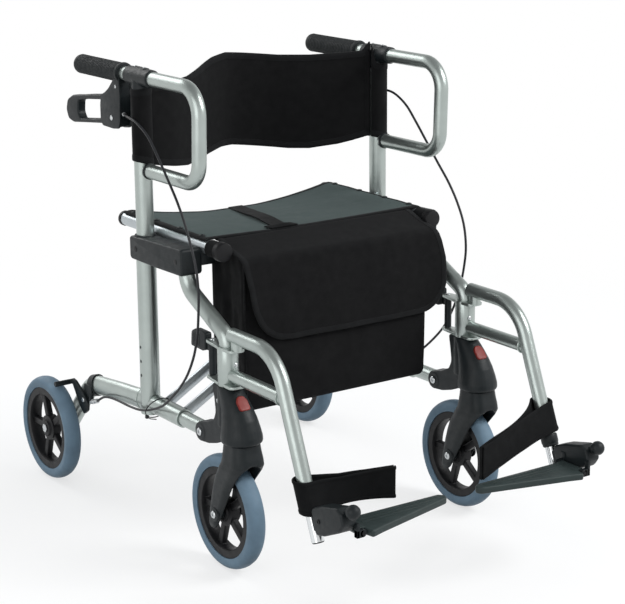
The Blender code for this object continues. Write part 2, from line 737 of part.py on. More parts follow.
def make_rim_mesh():
    """Moulded wheel centre with its rim, five spokes and hub, made once for all four wheels."""
    web = slab(circle((0, 0), RIM_RADIUS - 0.004, WHEEL_STEPS), SPOKE_THICKNESS, (0, 0, 0),
               holes=[spoke_window(i) for i in range(SPOKES)])
    half = RIM_HALF_WIDTH
    rim = turned(((RIM_INNER_RADIUS, -half), (RIM_INNER_RADIUS, half), (RIM_RADIUS, half),
                  (RIM_RADIUS, -half)), (0, 0, 0), ALONG_X, WHEEL_STEPS)
    hub = turned(((HUB_BORE, -HUB_HALF_WIDTH), (HUB_BORE, HUB_HALF_WIDTH),
                  (HUB_RADIUS, HUB_HALF_WIDTH), (HUB_RADIUS, -HUB_HALF_WIDTH)),
                 (0, 0, 0), ALONG_X, 14)
    bore = rod((-0.03, 0, 0), (0.03, 0, 0), HUB_RADIUS * 0.8, 12)
    cut(web, bore)
    fuse(web, rim, hub)
    bpy.context.view_layer.update()
    solid = as_mesh(web)
    mesh = solid.data
    mesh.transform(solid.matrix_world)
    bpy.data.objects.remove(solid, do_unlink=True)
    return mesh


def make_tyre_mesh():
    half = WHEEL_HALF_WIDTH
    shoulder = WHEEL_RADIUS - 0.006
    profile = [(TYRE_BORE, -half * 0.85), (TYRE_BORE, half * 0.85), (shoulder - 0.002, half),
               (WHEEL_RADIUS, half * 0.4), (WHEEL_RADIUS, -half * 0.4), (shoulder - 0.002, -half)]
    solid = turned(profile, (0, 0, 0), ALONG_X, WHEEL_STEPS)
    mesh = solid.data
    mesh.transform(solid.matrix_world)
    bpy.data.objects.remove(solid, do_unlink=True)
    return mesh


def make_wheel(prefix, carrier, rim_mesh, tyre_mesh):
    for part, mesh, finish_name in (("rim", rim_mesh, "charcoal_plastic"),
                                    ("tyre", tyre_mesh, "tyre_rubber")):
        obj = add_object(prefix + part, mesh.copy())
        obj.location = carrier.location
        finish(obj, prefix + part, finish_name, carrier)


# Wheel brake

def make_brake_mount(side, x, carrier):
    half_w = STAY_HALF_WIDTH + BRAKE_MOUNT_CLEARANCE
    half_h = STAY_HALF_HEIGHT + BRAKE_MOUNT_CLEARANCE

    def ring(extra):
        return [((half_h + extra) * math.sin(2 * math.pi * k / 16),
                 (half_w + extra) * math.cos(2 * math.pi * k / 16)) for k in range(16)]

    band = slab(ring(BRAKE_MOUNT_WALL), BRAKE_MOUNT_LENGTH, (0, 0, 0), "XY", holes=[ring(0.0)])
    cos, sin = math.cos(BRAKE_MOUNT_SLOPE), math.sin(BRAKE_MOUNT_SLOPE)
    turn = Matrix(((0, 1, 0), (-sin, 0, cos), (cos, 0, sin))).to_quaternion()
    set_place(band, (x, *BRAKE_MOUNT_AT), turn)
    arm_face = BRAKE_ARM_X - BRAKE_ARM_THICKNESS / 2 - GAP
    pivot_y, pivot_z = BRAKE_ARM_PIVOT
    lug = slab(bend(BRAKE_LUG_OUTLINE, 0.004, closed=True, turn_step=30), BRAKE_LUG_THICKNESS,
               (side * (arm_face - BRAKE_LUG_THICKNESS / 2), 0, 0))
    pin = rod((side * (arm_face - 0.002), pivot_y, pivot_z),
              (side * (BRAKE_ARM_X + BRAKE_ARM_THICKNESS / 2 + 0.001), pivot_y, pivot_z), 0.003, 12)
    barrel = rod((side * BRAKE_ARM_X, *BARREL_FROM), (side * BRAKE_ARM_X, *BARREL_TO), BARREL_RADIUS)
    holder = rod((side * (FRAME_X + 0.014), *BARREL_HOLDER), (side * BRAKE_ARM_X, *BARREL_TO), 0.0045, 12)
    fuse(band, lug, pin, barrel, holder)
    return finish(band, carrier["prefix"] + "brake_mount", "charcoal_plastic", carrier)


def make_brake_arm(side, carrier):
    x = side * BRAKE_ARM_X
    outline = bend(BRAKE_ARM_OUTLINE, 0.003, closed=True, turn_step=40)
    arm = slab(outline, BRAKE_ARM_THICKNESS, (x, 0, 0))
    inner = side * (BRAKE_ARM_X - BRAKE_ARM_THICKNESS / 2)
    shoe = rod((inner, *BRAKE_SHOE_AT), (side * BRAKE_SHOE_REACH, *BRAKE_SHOE_AT),
               BRAKE_SHOE_RADIUS, 14)
    hole = bore((x - 0.02, *BRAKE_ARM_PIVOT), (x + 0.02, *BRAKE_ARM_PIVOT), 0.003, 12)
    fuse(arm, shoe)
    cut(arm, hole)
    return finish(arm, carrier["prefix"] + "brake_arm", "charcoal_plastic", carrier)


# Handle

def below_handle(outline):
    """Depths and heights of an outline given by its drop below the handle bar."""
    return [(y, HANDLE_Z - drop) for y, drop in outline]


def make_handle(side, x, carrier):
    prefix = carrier["prefix"]
    upper = rod((x, POST_Y, UPPER_POST_FOOT_Z), (x, POST_Y, UPPER_POST_TOP_Z), UPPER_POST_RADIUS, 24)
    finish(upper, prefix + "upper_post", "satin_aluminium", carrier)

    loop = bend([(x, POST_Y, ARM_LOWER_Z), (x, ARM_FRONT_Y, ARM_LOWER_Z),
                 (x, ARM_FRONT_Y - 0.006, HANDLE_Z), (x, ARM_REAR_Y, HANDLE_Z)],
                [ARM_LOWER_BEND, ARM_TOP_BEND])
    armrest = tube(loop, ARM_RADIUS)
    bpy.context.view_layer.update()
    armrest = as_mesh(armrest)
    stop = bore((x, POST_Y, ARM_LOWER_Z - 0.03), (x, POST_Y, ARM_LOWER_Z + 0.03),
                BACKREST_SLEEVE_RADIUS)
    cut(armrest, stop)
    finish(armrest, prefix + "armrest", "satin_aluminium", carrier)

    clamp = rod((x, CLAMP_Y[0], HANDLE_Z), (x, CLAMP_Y[1], HANDLE_Z), CLAMP_RADIUS)
    neck = rod((x, POST_Y, UPPER_POST_TOP_Z + GAP), (x, POST_Y, HANDLE_Z), UPPER_POST_RADIUS, 24)
    fuse(clamp, neck)
    cut(clamp, bore((x, CLAMP_Y[0] + 0.01, HANDLE_Z), (x, CLAMP_Y[1] - 0.01, HANDLE_Z), ARM_RADIUS))
    finish(clamp, prefix + "handle_clamp", "charcoal_plastic", carrier)

    inner = clear_radius(ARM_RADIUS)
    length = GRIP_Y[1] - GRIP_Y[0]
    depth = ARM_REAR_Y - GRIP_Y[0] + GAP
    grip = turned(((0, depth), (inner, depth), (inner, 0), (GRIP_RADIUS - 0.001, 0),
                   (GRIP_RADIUS, 0.003), (GRIP_RADIUS, length - 0.006),
                   (GRIP_RADIUS - 0.0015, length - 0.0015), (GRIP_RADIUS - 0.004, length), (0, length)),
                  (x, GRIP_Y[0], HANDLE_Z), ALONG_Y)
    finish(grip, prefix + "grip", "grip_rubber", carrier)

    outline = bend(below_handle(BRAKE_BODY_BELOW), BRAKE_BODY_CORNERS, closed=True, turn_step=30)
    brake = slab(outline, BRAKE_BODY_WIDTH, (x, 0, 0))
    ring = rod((x, BRAKE_RING_Y[0], HANDLE_Z), (x, BRAKE_RING_Y[1], HANDLE_Z), BRAKE_RING_RADIUS)
    half = BRAKE_SLOT_WIDTH / 2
    slot = box((x - half, BRAKE_SLOT_Y[0], HANDLE_Z - BRAKE_SLOT_BELOW[0]),
               (x + half, BRAKE_SLOT_Y[1], HANDLE_Z - BRAKE_SLOT_BELOW[1]))
    pin = rod((x - BRAKE_BODY_WIDTH / 2, *BRAKE_PIVOT), (x + BRAKE_BODY_WIDTH / 2, *BRAKE_PIVOT),
              BRAKE_PIN_RADIUS, 14)
    fuse(brake, ring)
    cut(brake, bore((x, BRAKE_RING_Y[0] - 0.02, HANDLE_Z), (x, 0.080, HANDLE_Z), ARM_RADIUS), slot)
    fuse(brake, pin)
    finish(brake, prefix + "brake_body", "charcoal_plastic", carrier)


def make_lever(x, carrier):
    outline = bend(below_handle(LEVER_BELOW), LEVER_CORNERS, closed=True, turn_step=30)
    window = bend(below_handle(LEVER_WINDOW_BELOW), 0.008, closed=True, turn_step=30)
    lever = slab(outline, LEVER_WIDTH, (x, 0, 0), holes=[window])
    hole = bore((x - 0.02, *BRAKE_PIVOT), (x + 0.02, *BRAKE_PIVOT), BRAKE_PIN_RADIUS)
    cut(lever, hole)
    return finish(lever, carrier["prefix"] + "brake_lever", "charcoal_plastic", carrier)


# Hanger and footrest

def hanger_y(z):
    """Depth of the hanger tube's slanted run at a height."""
    return HANGER_CORNER_Y - (HANGER_TUBE_Z - z) * HANGER_SLOPE


def hanger_point(x, z):
    return Vector((x, hanger_y(z), z))


def make_hanger(x, carrier):
    collar = rod((x, LEG_Y, HANGER_FOOT_Z), (x, LEG_Y, HANGER_TOP_Z), HANGER_SLEEVE_RADIUS, 24)
    tab = HANGER_LUG_RADIUS
    nose = HANGER_SLEEVE_RADIUS - 0.002
    outline = [(x + side * (tab if rear else nose), y) for side, y, rear in
               ((-1, HANGER_LUG_Y + 0.002, True), (1, HANGER_LUG_Y + 0.002, True),
                (1, LEG_Y + 0.008, False), (1, HANGER_NOSE_Y, False),
                (-1, HANGER_NOSE_Y, False), (-1, LEG_Y + 0.008, False))]
    outline = bend(outline, [0.006, 0.006, 0.02, 0.010, 0.010, 0.02], closed=True, turn_step=45)
    for z in (HANGER_TOP_Z - HANGER_PLATE / 2, HANGER_FOOT_Z + HANGER_PLATE / 2):
        fuse(collar, slab(outline, HANGER_PLATE, (0, 0, z), "XY"))
    fuse(collar, rod((x, HANGER_LUG_Y, HANGER_FOOT_Z + 0.001), (x, HANGER_LUG_Y, HANGER_TOP_Z + 0.003),
                     LATCH_PIN_RADIUS, 12))
    root_y = HANGER_NOSE_Y + 0.001
    path = [(x, root_y, HANGER_TOP_Z - 0.003), (x, root_y, HANGER_TUBE_Z),
            (x, HANGER_CORNER_Y, HANGER_TUBE_Z), hanger_point(x, HANGER_END_Z)]
    arm = tube(bend(path, [HANGER_ROOT_BEND, HANGER_BEND], turn_step=17), HANGER_TUBE_RADIUS)
    bpy.context.view_layer.update()
    arm = as_mesh(arm)
    strut = rod((x, LEG_Y - LEG_RADIUS - 0.0015, HANGER_BRACE_Z),
                (x, hanger_y(HANGER_BRACE_Z), HANGER_BRACE_Z), HANGER_BRACE_RADIUS)
    fuse(collar, arm, strut)
    bore_top = hanger_point(x, INNER_TUBE_TOP_Z + 0.002)
    cut(collar, bore((x, LEG_Y, HANGER_FOOT_Z - 0.01), (x, LEG_Y, HANGER_TUBE_Z), LEG_RADIUS),
        bore(bore_top, hanger_point(x, HANGER_END_Z - 0.02), INNER_TUBE_RADIUS))
    return finish(collar, carrier["prefix"] + "hanger", "satin_aluminium", carrier)


def make_latch(x, carrier):
    latch = slab(bend(LATCH_OUTLINE, 0.004, closed=True, turn_step=40), LATCH_WIDTH, (x, 0, 0))
    low, high = LATCH_OUTLINE[0][1], HANGER_TOP_Z - HANGER_PLATE - GAP
    knuckle = rod((x, HANGER_LUG_Y, low), (x, HANGER_LUG_Y, high), LATCH_KNUCKLE, 16)
    neck = box((x - 0.004, HANGER_LUG_Y, low), (x + 0.004, LATCH_OUTLINE[2][0], high))
    fuse(latch, knuckle, neck)
    cut(latch, bore((x, HANGER_LUG_Y, low - 0.01), (x, HANGER_LUG_Y, high + 0.01), LATCH_PIN_RADIUS, 12))
    return finish(latch, carrier["prefix"] + "swing_latch", "charcoal_plastic", carrier)


def make_footrest_tube(x, carrier):
    inner = rod(hanger_point(x, INNER_TUBE_TOP_Z), hanger_point(x, INNER_TUBE_END_Z),
                INNER_TUBE_RADIUS)
    return finish(inner, carrier["prefix"] + "footrest_tube", "chrome", carrier)


def foot_axis():
    return Vector((0, -math.cos(FOOT_BLOCK_RISE), math.sin(FOOT_BLOCK_RISE)))


def make_foot_block(side, x, carrier):
    ahead = foot_axis()
    above = Vector((0, math.sin(FOOT_BLOCK_RISE), math.cos(FOOT_BLOCK_RISE)))
    rear = hanger_point(x, FOOT_BLOCK_Z)
    front = rear + ahead * FOOT_BLOCK_LENGTH
    half = FOOT_BLOCK_HALF_HEIGHT
    corners = [rear - above * half, rear + above * half, front + above * half, front - above * half]
    outline = bend([(c.y, c.z) for c in corners], [0.001, 0.001, 0.006, 0.006], closed=True,
                   turn_step=30)
    block = slab(outline, FOOT_BLOCK_WIDTH, (x, 0, 0))
    knob_at = front + ahead * KNOB_REACH * 0.62 + above * 0.008
    bm = bmesh.new()
    bmesh.ops.create_uvsphere(bm, u_segments=10, v_segments=7, radius=KNOB_RADIUS)
    mesh = bpy.data.meshes.new("knob")
    bm.to_mesh(mesh)
    bm.free()
    shade(mesh)
    knob = add_object("knob", mesh)
    knob.location = knob_at
    fuse(block, rod(knob_at, front - ahead * 0.004 + above * 0.008, 0.006, 14), knob)
    axis_x = side * PLATE_AXIS_X
    inner_face = x - side * FOOT_BLOCK_WIDTH / 2
    ears = ((PLATE_REAR_Y + GAP, PLATE_REAR_Y + PLATE_EAR_LENGTH),
            (PLATE_KNUCKLE_FRONT_Y - GAP, PLATE_KNUCKLE_FRONT_Y - PLATE_EAR_LENGTH + 0.001))
    half = PLATE_THICKNESS / 2
    for near, far in ears:
        low_y, high_y = sorted((near, far))
        fuse(block, rod((axis_x, low_y, PLATE_AXIS_Z), (axis_x, high_y, PLATE_AXIS_Z), half, 16))
        for start, rise in ((axis_x, half - 0.0002), (inner_face - side * PLATE_EAR_WEB, PLATE_EAR_RISE)):
            low_x, high_x = sorted((start, inner_face + side * 0.003))
            fuse(block, box((low_x, low_y, PLATE_AXIS_Z - half + 0.0002),
                            (high_x, high_y, PLATE_AXIS_Z + rise)))
    fuse(block, rod((axis_x, ears[0][1] - 0.001, PLATE_AXIS_Z), (axis_x, ears[1][1] + 0.001, PLATE_AXIS_Z),
                    PLATE_PIN_RADIUS, 14))
    cut(block, bore(hanger_point(x, 0.230), hanger_point(x, 0.110), INNER_TUBE_RADIUS))
    return finish(block, carrier["prefix"] + "foot_block", "charcoal_plastic", carrier)


def make_footplate(side, carrier):
    axis_x = side * PLATE_AXIS_X
    outline = [(side * x, y) for x, y in PLATE_OUTLINE]
    if side > 0:
        outline.reverse()
    outline = bend(outline, 0.004, closed=True, turn_step=40)
    plate = slab(outline, PLATE_THICKNESS, (0, 0, PLATE_AXIS_Z), "XY")
    knuckle = rod((axis_x, PLATE_REAR_Y - GAP, PLATE_AXIS_Z),
                  (axis_x, PLATE_KNUCKLE_FRONT_Y + GAP, PLATE_AXIS_Z), PLATE_THICKNESS / 2, 18)
    low_x, high_x = sorted((axis_x, side * (PLATE_OUTLINE[0][0] - 0.002)))
    filler = box((low_x, PLATE_KNUCKLE_FRONT_Y + GAP, PLATE_AXIS_Z - PLATE_THICKNESS / 2 + 0.0001),
                 (high_x, PLATE_REAR_Y - GAP, PLATE_AXIS_Z + PLATE_THICKNESS / 2 - 0.0001))
    fuse(plate, filler, knuckle)
    cut(plate, bore((axis_x, PLATE_REAR_Y + 0.01, PLATE_AXIS_Z),
                    (axis_x, PLATE_KNUCKLE_FRONT_Y - 0.01, PLATE_AXIS_Z), PLATE_PIN_RADIUS))
    return finish(plate, carrier["prefix"] + "footplate", "footplate_plastic", carrier)


def make_heel_strap(side, x, carrier):
    """Band round the hanger tube that runs behind the heel to the footplate's rear edge."""
    anchor = hanger_point(x, STRAP_TUBE_Z)
    along = (hanger_point(x, 0.3) - hanger_point(x, 0.2)).normalized()
    ahead = Vector((0, -along.z, along.y))
    inner = clear_radius(HANGER_TUBE_RADIUS, 20)
    outer = inner + STRAP_THICKNESS
    end = Vector((side * STRAP_END[0], STRAP_END[1], STRAP_END[2])) - anchor
    end_in, end_ahead, end_along = end.x * -side, end.dot(ahead), end.dot(along)
    band_half = STRAP_THICKNESS / 2
    length = math.hypot(end_in, end_ahead)
    lead = Vector((end_in, end_ahead)) / length
    cross = Vector((-lead.y, lead.x))
    outline = []
    open_angle = math.asin(band_half / outer)
    for k in range(21):
        angle = open_angle + (2 * math.pi - 2 * open_angle) * k / 20
        outline.append(lead * outer * math.cos(angle) + cross * outer * math.sin(angle))
    for way in (-1, 1):
        steps = range(1, 6) if way < 0 else range(5, 0, -1)
        for k in steps:
            reach = outer + (length - outer) * k / 5
            slack = 0.012 * math.sin(math.pi * k / 5)
            outline.append(lead * reach + cross * (way * band_half + slack))
    strap = slab([(p.x, p.y) for p in outline], STRAP_HEIGHT, (0, 0, 0), "XY",
                 holes=[circle((0, 0), inner, 20)])
    for vertex in strap.data.vertices:
        share = max(0.0, (Vector(vertex.co[:2]).dot(lead) - outer) / (length - outer))
        vertex.co.z += end_along * share
    axes = Matrix(((-side, 0, 0), (0, ahead.y, ahead.z), (0, along.y, along.z))).transposed()
    if axes.determinant() < 0:
        strap.data.transform(Matrix.Diagonal((-1, 1, 1, 1)))
        strap.data.flip_normals()
        axes = Matrix(((side, 0, 0), (0, ahead.y, ahead.z), (0, along.y, along.z))).transposed()
    strap.location = anchor
    strap.rotation_quaternion = axes.to_quaternion()
    return finish(strap, carrier["prefix"] + "heel_strap", "black_webbing", carrier)


# Folding braces and seat rails

def make_seat_rail(side, name, carrier):
    x = side * SEAT_RAIL_X
    length = SEAT_RAIL_REAR_Y - SEAT_RAIL_FRONT_Y
    cap = SEAT_CAP_LENGTH
    profile = ((0, 0), (SEAT_CAP_RADIUS - 0.003, 0), (SEAT_CAP_RADIUS, 0.003), (SEAT_CAP_RADIUS, cap),
               (SEAT_RAIL_RADIUS, cap), (SEAT_RAIL_RADIUS, length - 0.002),
               (SEAT_RAIL_RADIUS - 0.002, length), (0, length))
    rail = turned(profile, (x, SEAT_RAIL_FRONT_Y, SEAT_RAIL_Z), ALONG_Y)
    return finish(rail, name, "satin_aluminium", carrier)


def make_brace(side, name, carrier):
    """Two parallel tubes from a sleeve on this side's lower rail to the other side's seat rail."""
    low = Vector((side * FRAME_X, 0, RAIL_Z))
    middle = Vector((0, 0, BRACE_PIVOT_Z))
    high = Vector((-side * SEAT_RAIL_X, 0, SEAT_RAIL_Z))
    sleeve_inner = clear_radius(RAIL_RADIUS, 24)
    start = low + (middle - low).normalized() * (sleeve_inner + BRACE_SLEEVE_WALL * 0.6)
    brace = sleeve((low.x, BRACE_SLEEVE_Y[0], RAIL_Z), (low.x, BRACE_SLEEVE_Y[1], RAIL_Z),
                   sleeve_inner + BRACE_SLEEVE_WALL, sleeve_inner, 24)
    for y in BRACE_TUBE_Y[side]:
        path = [p + ALONG_Y * y for p in (start, middle, high)]
        leg = tube(path, BRACE_RADIUS, 3)
        bpy.context.view_layer.update()
        fuse(brace, as_mesh(leg))
    hole = bore((0, 0, BRACE_PIVOT_Z), (0, -0.2, BRACE_PIVOT_Z), BRACE_BOLT_RADIUS, 16)
    cut(brace, seat_rail_cutter(-side), hole)
    return finish(brace, name, "satin_aluminium", carrier)


def make_brace_bolt(carrier):
    rear, front = BRACE_BOLT_Y
    shank = BRACE_BOLT_RADIUS
    head = BRACE_BOLT_HEAD
    near_tube = max(BRACE_TUBE_Y[-1]) + BRACE_RADIUS + GAP
    far_tube = min(BRACE_TUBE_Y[-1]) - BRACE_RADIUS - GAP
    length = rear - front
    profile = ((0, 0), (head, 0), (head, far_tube - front), (shank, far_tube - front),
               (shank, near_tube - front), (head, near_tube - front), (head, length), (0, length))
    bolt = turned(profile, (0, front, BRACE_PIVOT_Z), ALONG_Y, 16)
    return finish(bolt, "brace_bolt", "chrome", carrier)


# Soft goods

def sheet(columns, rows, place):
    """Open surface from a grid whose points are placed by a function of two shares, 0 to 1."""
    bm = bmesh.new()
    bmesh.ops.create_grid(bm, x_segments=columns, y_segments=rows, size=0.5)
    for vertex in bm.verts:
        vertex.co = place(vertex.co.x + 0.5, vertex.co.y + 0.5)
    mesh = bpy.data.meshes.new("sheet")
    bm.to_mesh(mesh)
    bm.free()
    return add_object("sheet", mesh)


def make_seat(carrier):
    top = SEAT_RAIL_Z + SEAT_RAIL_RADIUS + GAP + SEAT_THICKNESS

    def place(u, v):
        share = abs(2 * u - 1) * SEAT_COLUMNS / (SEAT_COLUMNS - 2)
        out = SEAT_FLAT_HALF * min(share, 1.0)
        if share > 1.0:
            out += (SEAT_HALF_WIDTH - SEAT_FLAT_HALF) * (share - 1.0) * (SEAT_COLUMNS - 2) / 2
        x = math.copysign(out, u - 0.5)
        y = SEAT_FRONT_Y + (SEAT_REAR_Y - SEAT_FRONT_Y) * v
        hang = max(0.0, 1 - (x / SEAT_FLAT_HALF) ** 2)
        sag = SEAT_SAG_FRONT + (SEAT_SAG_REAR - SEAT_SAG_FRONT) * v
        return Vector((x, y, top - sag * hang))

    seat = sheet(SEAT_COLUMNS, 4, place)
    wall = seat.modifiers.new("cloth", "SOLIDIFY")
    wall.thickness = SEAT_THICKNESS
    wall.offset = -1
    return finish(seat, "seat", "seat_fabric", carrier)


def backrest_bow(x):
    """Share of the band's bow at a distance from the middle, 1 in the middle and 0 at the posts."""
    if abs(x) >= BACKREST_BOW_HALF:
        return 0.0
    return (1 + math.cos(math.pi * x / BACKREST_BOW_HALF)) / 2


def make_backrest(carrier):
    outer = BACKREST_SLEEVE_RADIUS
    half = BACKREST_THICKNESS / 2
    edge = FRAME_X - outer + half
    spread = [edge * k / 10 for k in range(-10, 11)]
    offsets = {way: [(x, POST_Y + BACKREST_DEPTH * backrest_bow(x) + way * half) for x in spread]
               for way in (-1, 1)}
    gap_angle = math.asin(half / outer)
    outline = list(offsets[-1])
    for side in (1, -1):
        start = math.pi + gap_angle if side > 0 else gap_angle
        for k in range(1, 16):
            angle = start + (2 * math.pi - 2 * gap_angle) * k / 16
            outline.append((side * FRAME_X + outer * math.cos(angle),
                            POST_Y + outer * math.sin(angle)))
        if side > 0:
            outline += reversed(offsets[1])
    holes = [circle((side * FRAME_X, POST_Y), clear_radius(UPPER_POST_RADIUS, 24), 24)
             for side in (-1, 1)]
    band = slab(outline, 1.0, (0, 0, 0), "XY", holes=holes)
    for vertex in band.data.vertices:
        bow = backrest_bow(vertex.co.x)
        middle = BACKREST_MID_Z[0] + (BACKREST_MID_Z[1] - BACKREST_MID_Z[0]) * bow
        height = BACKREST_HEIGHT[0] + (BACKREST_HEIGHT[1] - BACKREST_HEIGHT[0]) * bow
        vertex.co.z = middle + math.copysign(height / 2, vertex.co.z)
    return finish(band, "backrest", "black_fabric", carrier)


def make_bag(carrier):
    middle_x, half_x = (BAG_X[0] + BAG_X[1]) / 2, (BAG_X[1] - BAG_X[0]) / 2
    middle_y, half_y = (BAG_Y[0] + BAG_Y[1]) / 2, (BAG_Y[1] - BAG_Y[0]) / 2
    low, high = BAG_Z
    sections = (
        (low, middle_x, middle_y, half_x - 0.012, half_y - 0.014, 6.0),
        (low + 0.012, middle_x, middle_y, half_x - 0.002, half_y - 0.004, 8.0),
        (low + 0.080, middle_x, middle_y, half_x, half_y, 8.0),
        (high - 0.060, middle_x, middle_y, half_x, half_y, 8.0),
        (high, middle_x, middle_y, half_x - 0.004, half_y - 0.004, 8.0),
    )
    bag = loft(sections, steps=20)
    outer = [Vector(p).to_3d() for p in bend(FLAP_PATH, [0.012, 0.014], turn_step=25)]
    ring = offset_strip(outer, FLAP_THICKNESS)
    flap = slab(ring, 2 * half_x - 0.004, (middle_x, 0, 0))
    fuse(bag, flap)
    return finish(bag, "bag", "black_fabric", carrier)


def offset_strip(path, thickness):
    """Closed outline of a strip that lies on one side of a path."""
    inner = []
    for i, point in enumerate(path):
        before, after = path[max(i - 1, 0)], path[min(i + 1, len(path) - 1)]
        run = (after - before).normalized()
        inner.append(point + Vector((-run.y, run.x, 0)) * thickness)
    return [(p.x, p.y) for p in path + inner[::-1]]


# Assembly

def build_side(name, frame, rim_mesh, tyre_mesh, section):
    side = -1 if name == "right" else 1
    x = side * FRAME_X
    prefix = name + "_"

    def carrier(part, location):
        empty = body(prefix + part, location)
        empty["prefix"] = prefix
        return empty

    make_post(side, x, frame)
    make_lower_rail(x, frame)
    make_rear_stay(side, x, frame, section)
    make_front_leg(x, frame)
    make_seat_bracket(side, x, frame)
    make_caster_housing(x, frame)
    make_brake_mount(side, x, frame)
    make_cable(side, frame)

    rear = carrier("rear_wheel_axis", (side * REAR_WHEEL_X, REAR_AXLE_Y, WHEEL_RADIUS))
    make_wheel(prefix + "rear_", rear, rim_mesh, tyre_mesh)
    swivel = carrier("swivel_axis", (x, SWIVEL_Y, HOUSING_FOOT_Z))
    make_fork(x, swivel)
    front = carrier("front_wheel_axis", (x, FRONT_AXLE_Y, WHEEL_RADIUS))
    make_wheel(prefix + "front_", front, rim_mesh, tyre_mesh)

    handle = carrier("handle_slide", (x, POST_Y, POST_TOP_Z))
    make_handle(side, x, handle)
    make_lever(x, carrier("lever_axis", (x, *BRAKE_PIVOT)))
    make_brake_arm(side, carrier("brake_arm_axis", (side * BRAKE_ARM_X, *BRAKE_ARM_PIVOT)))

    make_hanger(x, carrier("hanger_axis", (x, LEG_Y, HANGER_FOOT_Z)))
    make_latch(x, carrier("latch_axis", (x, HANGER_LUG_Y, HANGER_TOP_Z)))
    footrest = carrier("footrest_slide", hanger_point(x, HANGER_END_Z))
    make_footrest_tube(x, footrest)
    make_foot_block(side, x, footrest)
    make_heel_strap(side, x, footrest)
    make_footplate(side, carrier("footplate_axis", (side * PLATE_AXIS_X, PLATE_REAR_Y, PLATE_AXIS_Z)))


def centre_on_floor():
    """Shift the whole model so that the middle of its footprint is the origin."""
    bpy.context.view_layer.update()
    graph = bpy.context.evaluated_depsgraph_get()
    depths = []
    for obj in PARTS.objects:
        if obj.type == "EMPTY":
            continue
        solid = obj.evaluated_get(graph)
        mesh = solid.to_mesh()
        depths += [(obj.matrix_world @ vertex.co).y for vertex in mesh.vertices]
        solid.to_mesh_clear()
    ROOT.location.y = -(min(depths) + max(depths)) / 2


def main():
    section = oval_section()
    rim_mesh = make_rim_mesh()
    tyre_mesh = make_tyre_mesh()
    for name, side in (("right", -1), ("left", 1)):
        frame = body(name + "_frame", (side * FRAME_X, 0, 0))
        frame["prefix"] = name + "_"
        build_side(name, frame, rim_mesh, tyre_mesh, section)
    first = body("right_brace_axis", (-FRAME_X, 0, RAIL_Z))
    second = body("left_brace_axis", (0, 0, BRACE_PIVOT_Z))
    make_brace(-1, "right_brace", first)
    make_seat_rail(1, "left_seat_rail", first)
    make_brace_bolt(first)
    make_brace(1, "left_brace", second)
    make_seat_rail(-1, "right_seat_rail", second)
    make_seat(second)
    make_bag(second)
    make_backrest(bpy.data.objects["right_handle_slide"])
    centre_on_floor()


main()
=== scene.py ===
"""Looks of the folding rollator: its finishes, soft goods and fine pieces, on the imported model.

Places are written as in the part's source: X across, Y along with the front at -Y, Z up, in metres.
They are moved into the row frame by place(), or by fit() for a finished piece.
"""
import bisect
import math

import bpy
from mathutils import Matrix, Quaternion, Vector, noise


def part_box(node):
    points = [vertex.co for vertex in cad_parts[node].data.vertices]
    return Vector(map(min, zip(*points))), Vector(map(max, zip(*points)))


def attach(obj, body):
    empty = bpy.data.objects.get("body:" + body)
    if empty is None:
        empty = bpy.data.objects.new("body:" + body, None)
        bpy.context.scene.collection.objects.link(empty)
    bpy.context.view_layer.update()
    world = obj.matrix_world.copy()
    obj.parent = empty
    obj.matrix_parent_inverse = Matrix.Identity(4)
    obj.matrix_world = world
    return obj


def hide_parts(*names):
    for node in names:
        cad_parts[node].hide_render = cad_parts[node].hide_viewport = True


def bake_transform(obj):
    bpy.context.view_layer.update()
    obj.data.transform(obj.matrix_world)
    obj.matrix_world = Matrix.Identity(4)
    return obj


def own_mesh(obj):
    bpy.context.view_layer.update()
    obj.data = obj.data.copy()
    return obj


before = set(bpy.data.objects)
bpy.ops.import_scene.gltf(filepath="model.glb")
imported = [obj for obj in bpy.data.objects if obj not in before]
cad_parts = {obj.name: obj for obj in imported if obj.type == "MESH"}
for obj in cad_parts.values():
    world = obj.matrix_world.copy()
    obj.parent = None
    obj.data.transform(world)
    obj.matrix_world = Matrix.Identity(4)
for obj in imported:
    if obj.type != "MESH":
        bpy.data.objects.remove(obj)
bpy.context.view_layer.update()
bpy.ops.object.select_all(action="DESELECT")

UP, BACK, FRONT, ACROSS = (0, 0, 1), (0, 1, 0), (0, -1, 0), (1, 0, 0)
POST_Y = -0.033
SHIFT = (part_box("right_post")[0].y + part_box("right_post")[1].y) / 2 - POST_Y
FRAME_X = 0.252
HANDLE_Z = 0.811
LEG_Y = -0.299
SWIVEL_Y = -0.33735
SEAT_RAIL_X, SEAT_RAIL_Z = 0.22, 0.537
RAIL_Z = 0.228
BRACE_CROSS_Z = 0.376
AXLE_Y, WHEEL_Z = 0.28935, 0.1
REAR_WHEEL_X = 0.2926
HUB_HALF = 0.0131
HANGER_SLOPE = 0.404

# Camera at the photograph's angle
VIEW_AZIMUTH = math.radians(-34.4)
VIEW_ELEVATION = math.radians(14.88)
VIEW_ROLL = math.radians(-0.48)
VIEW_TARGET = (0.12334, 0.0, 0.34611)
VIEW_DISTANCE = 3.52908
VIEW_LENS = 107.06


def place(x, y, z):
    return Vector((x, y + SHIFT, z))


# Node trees

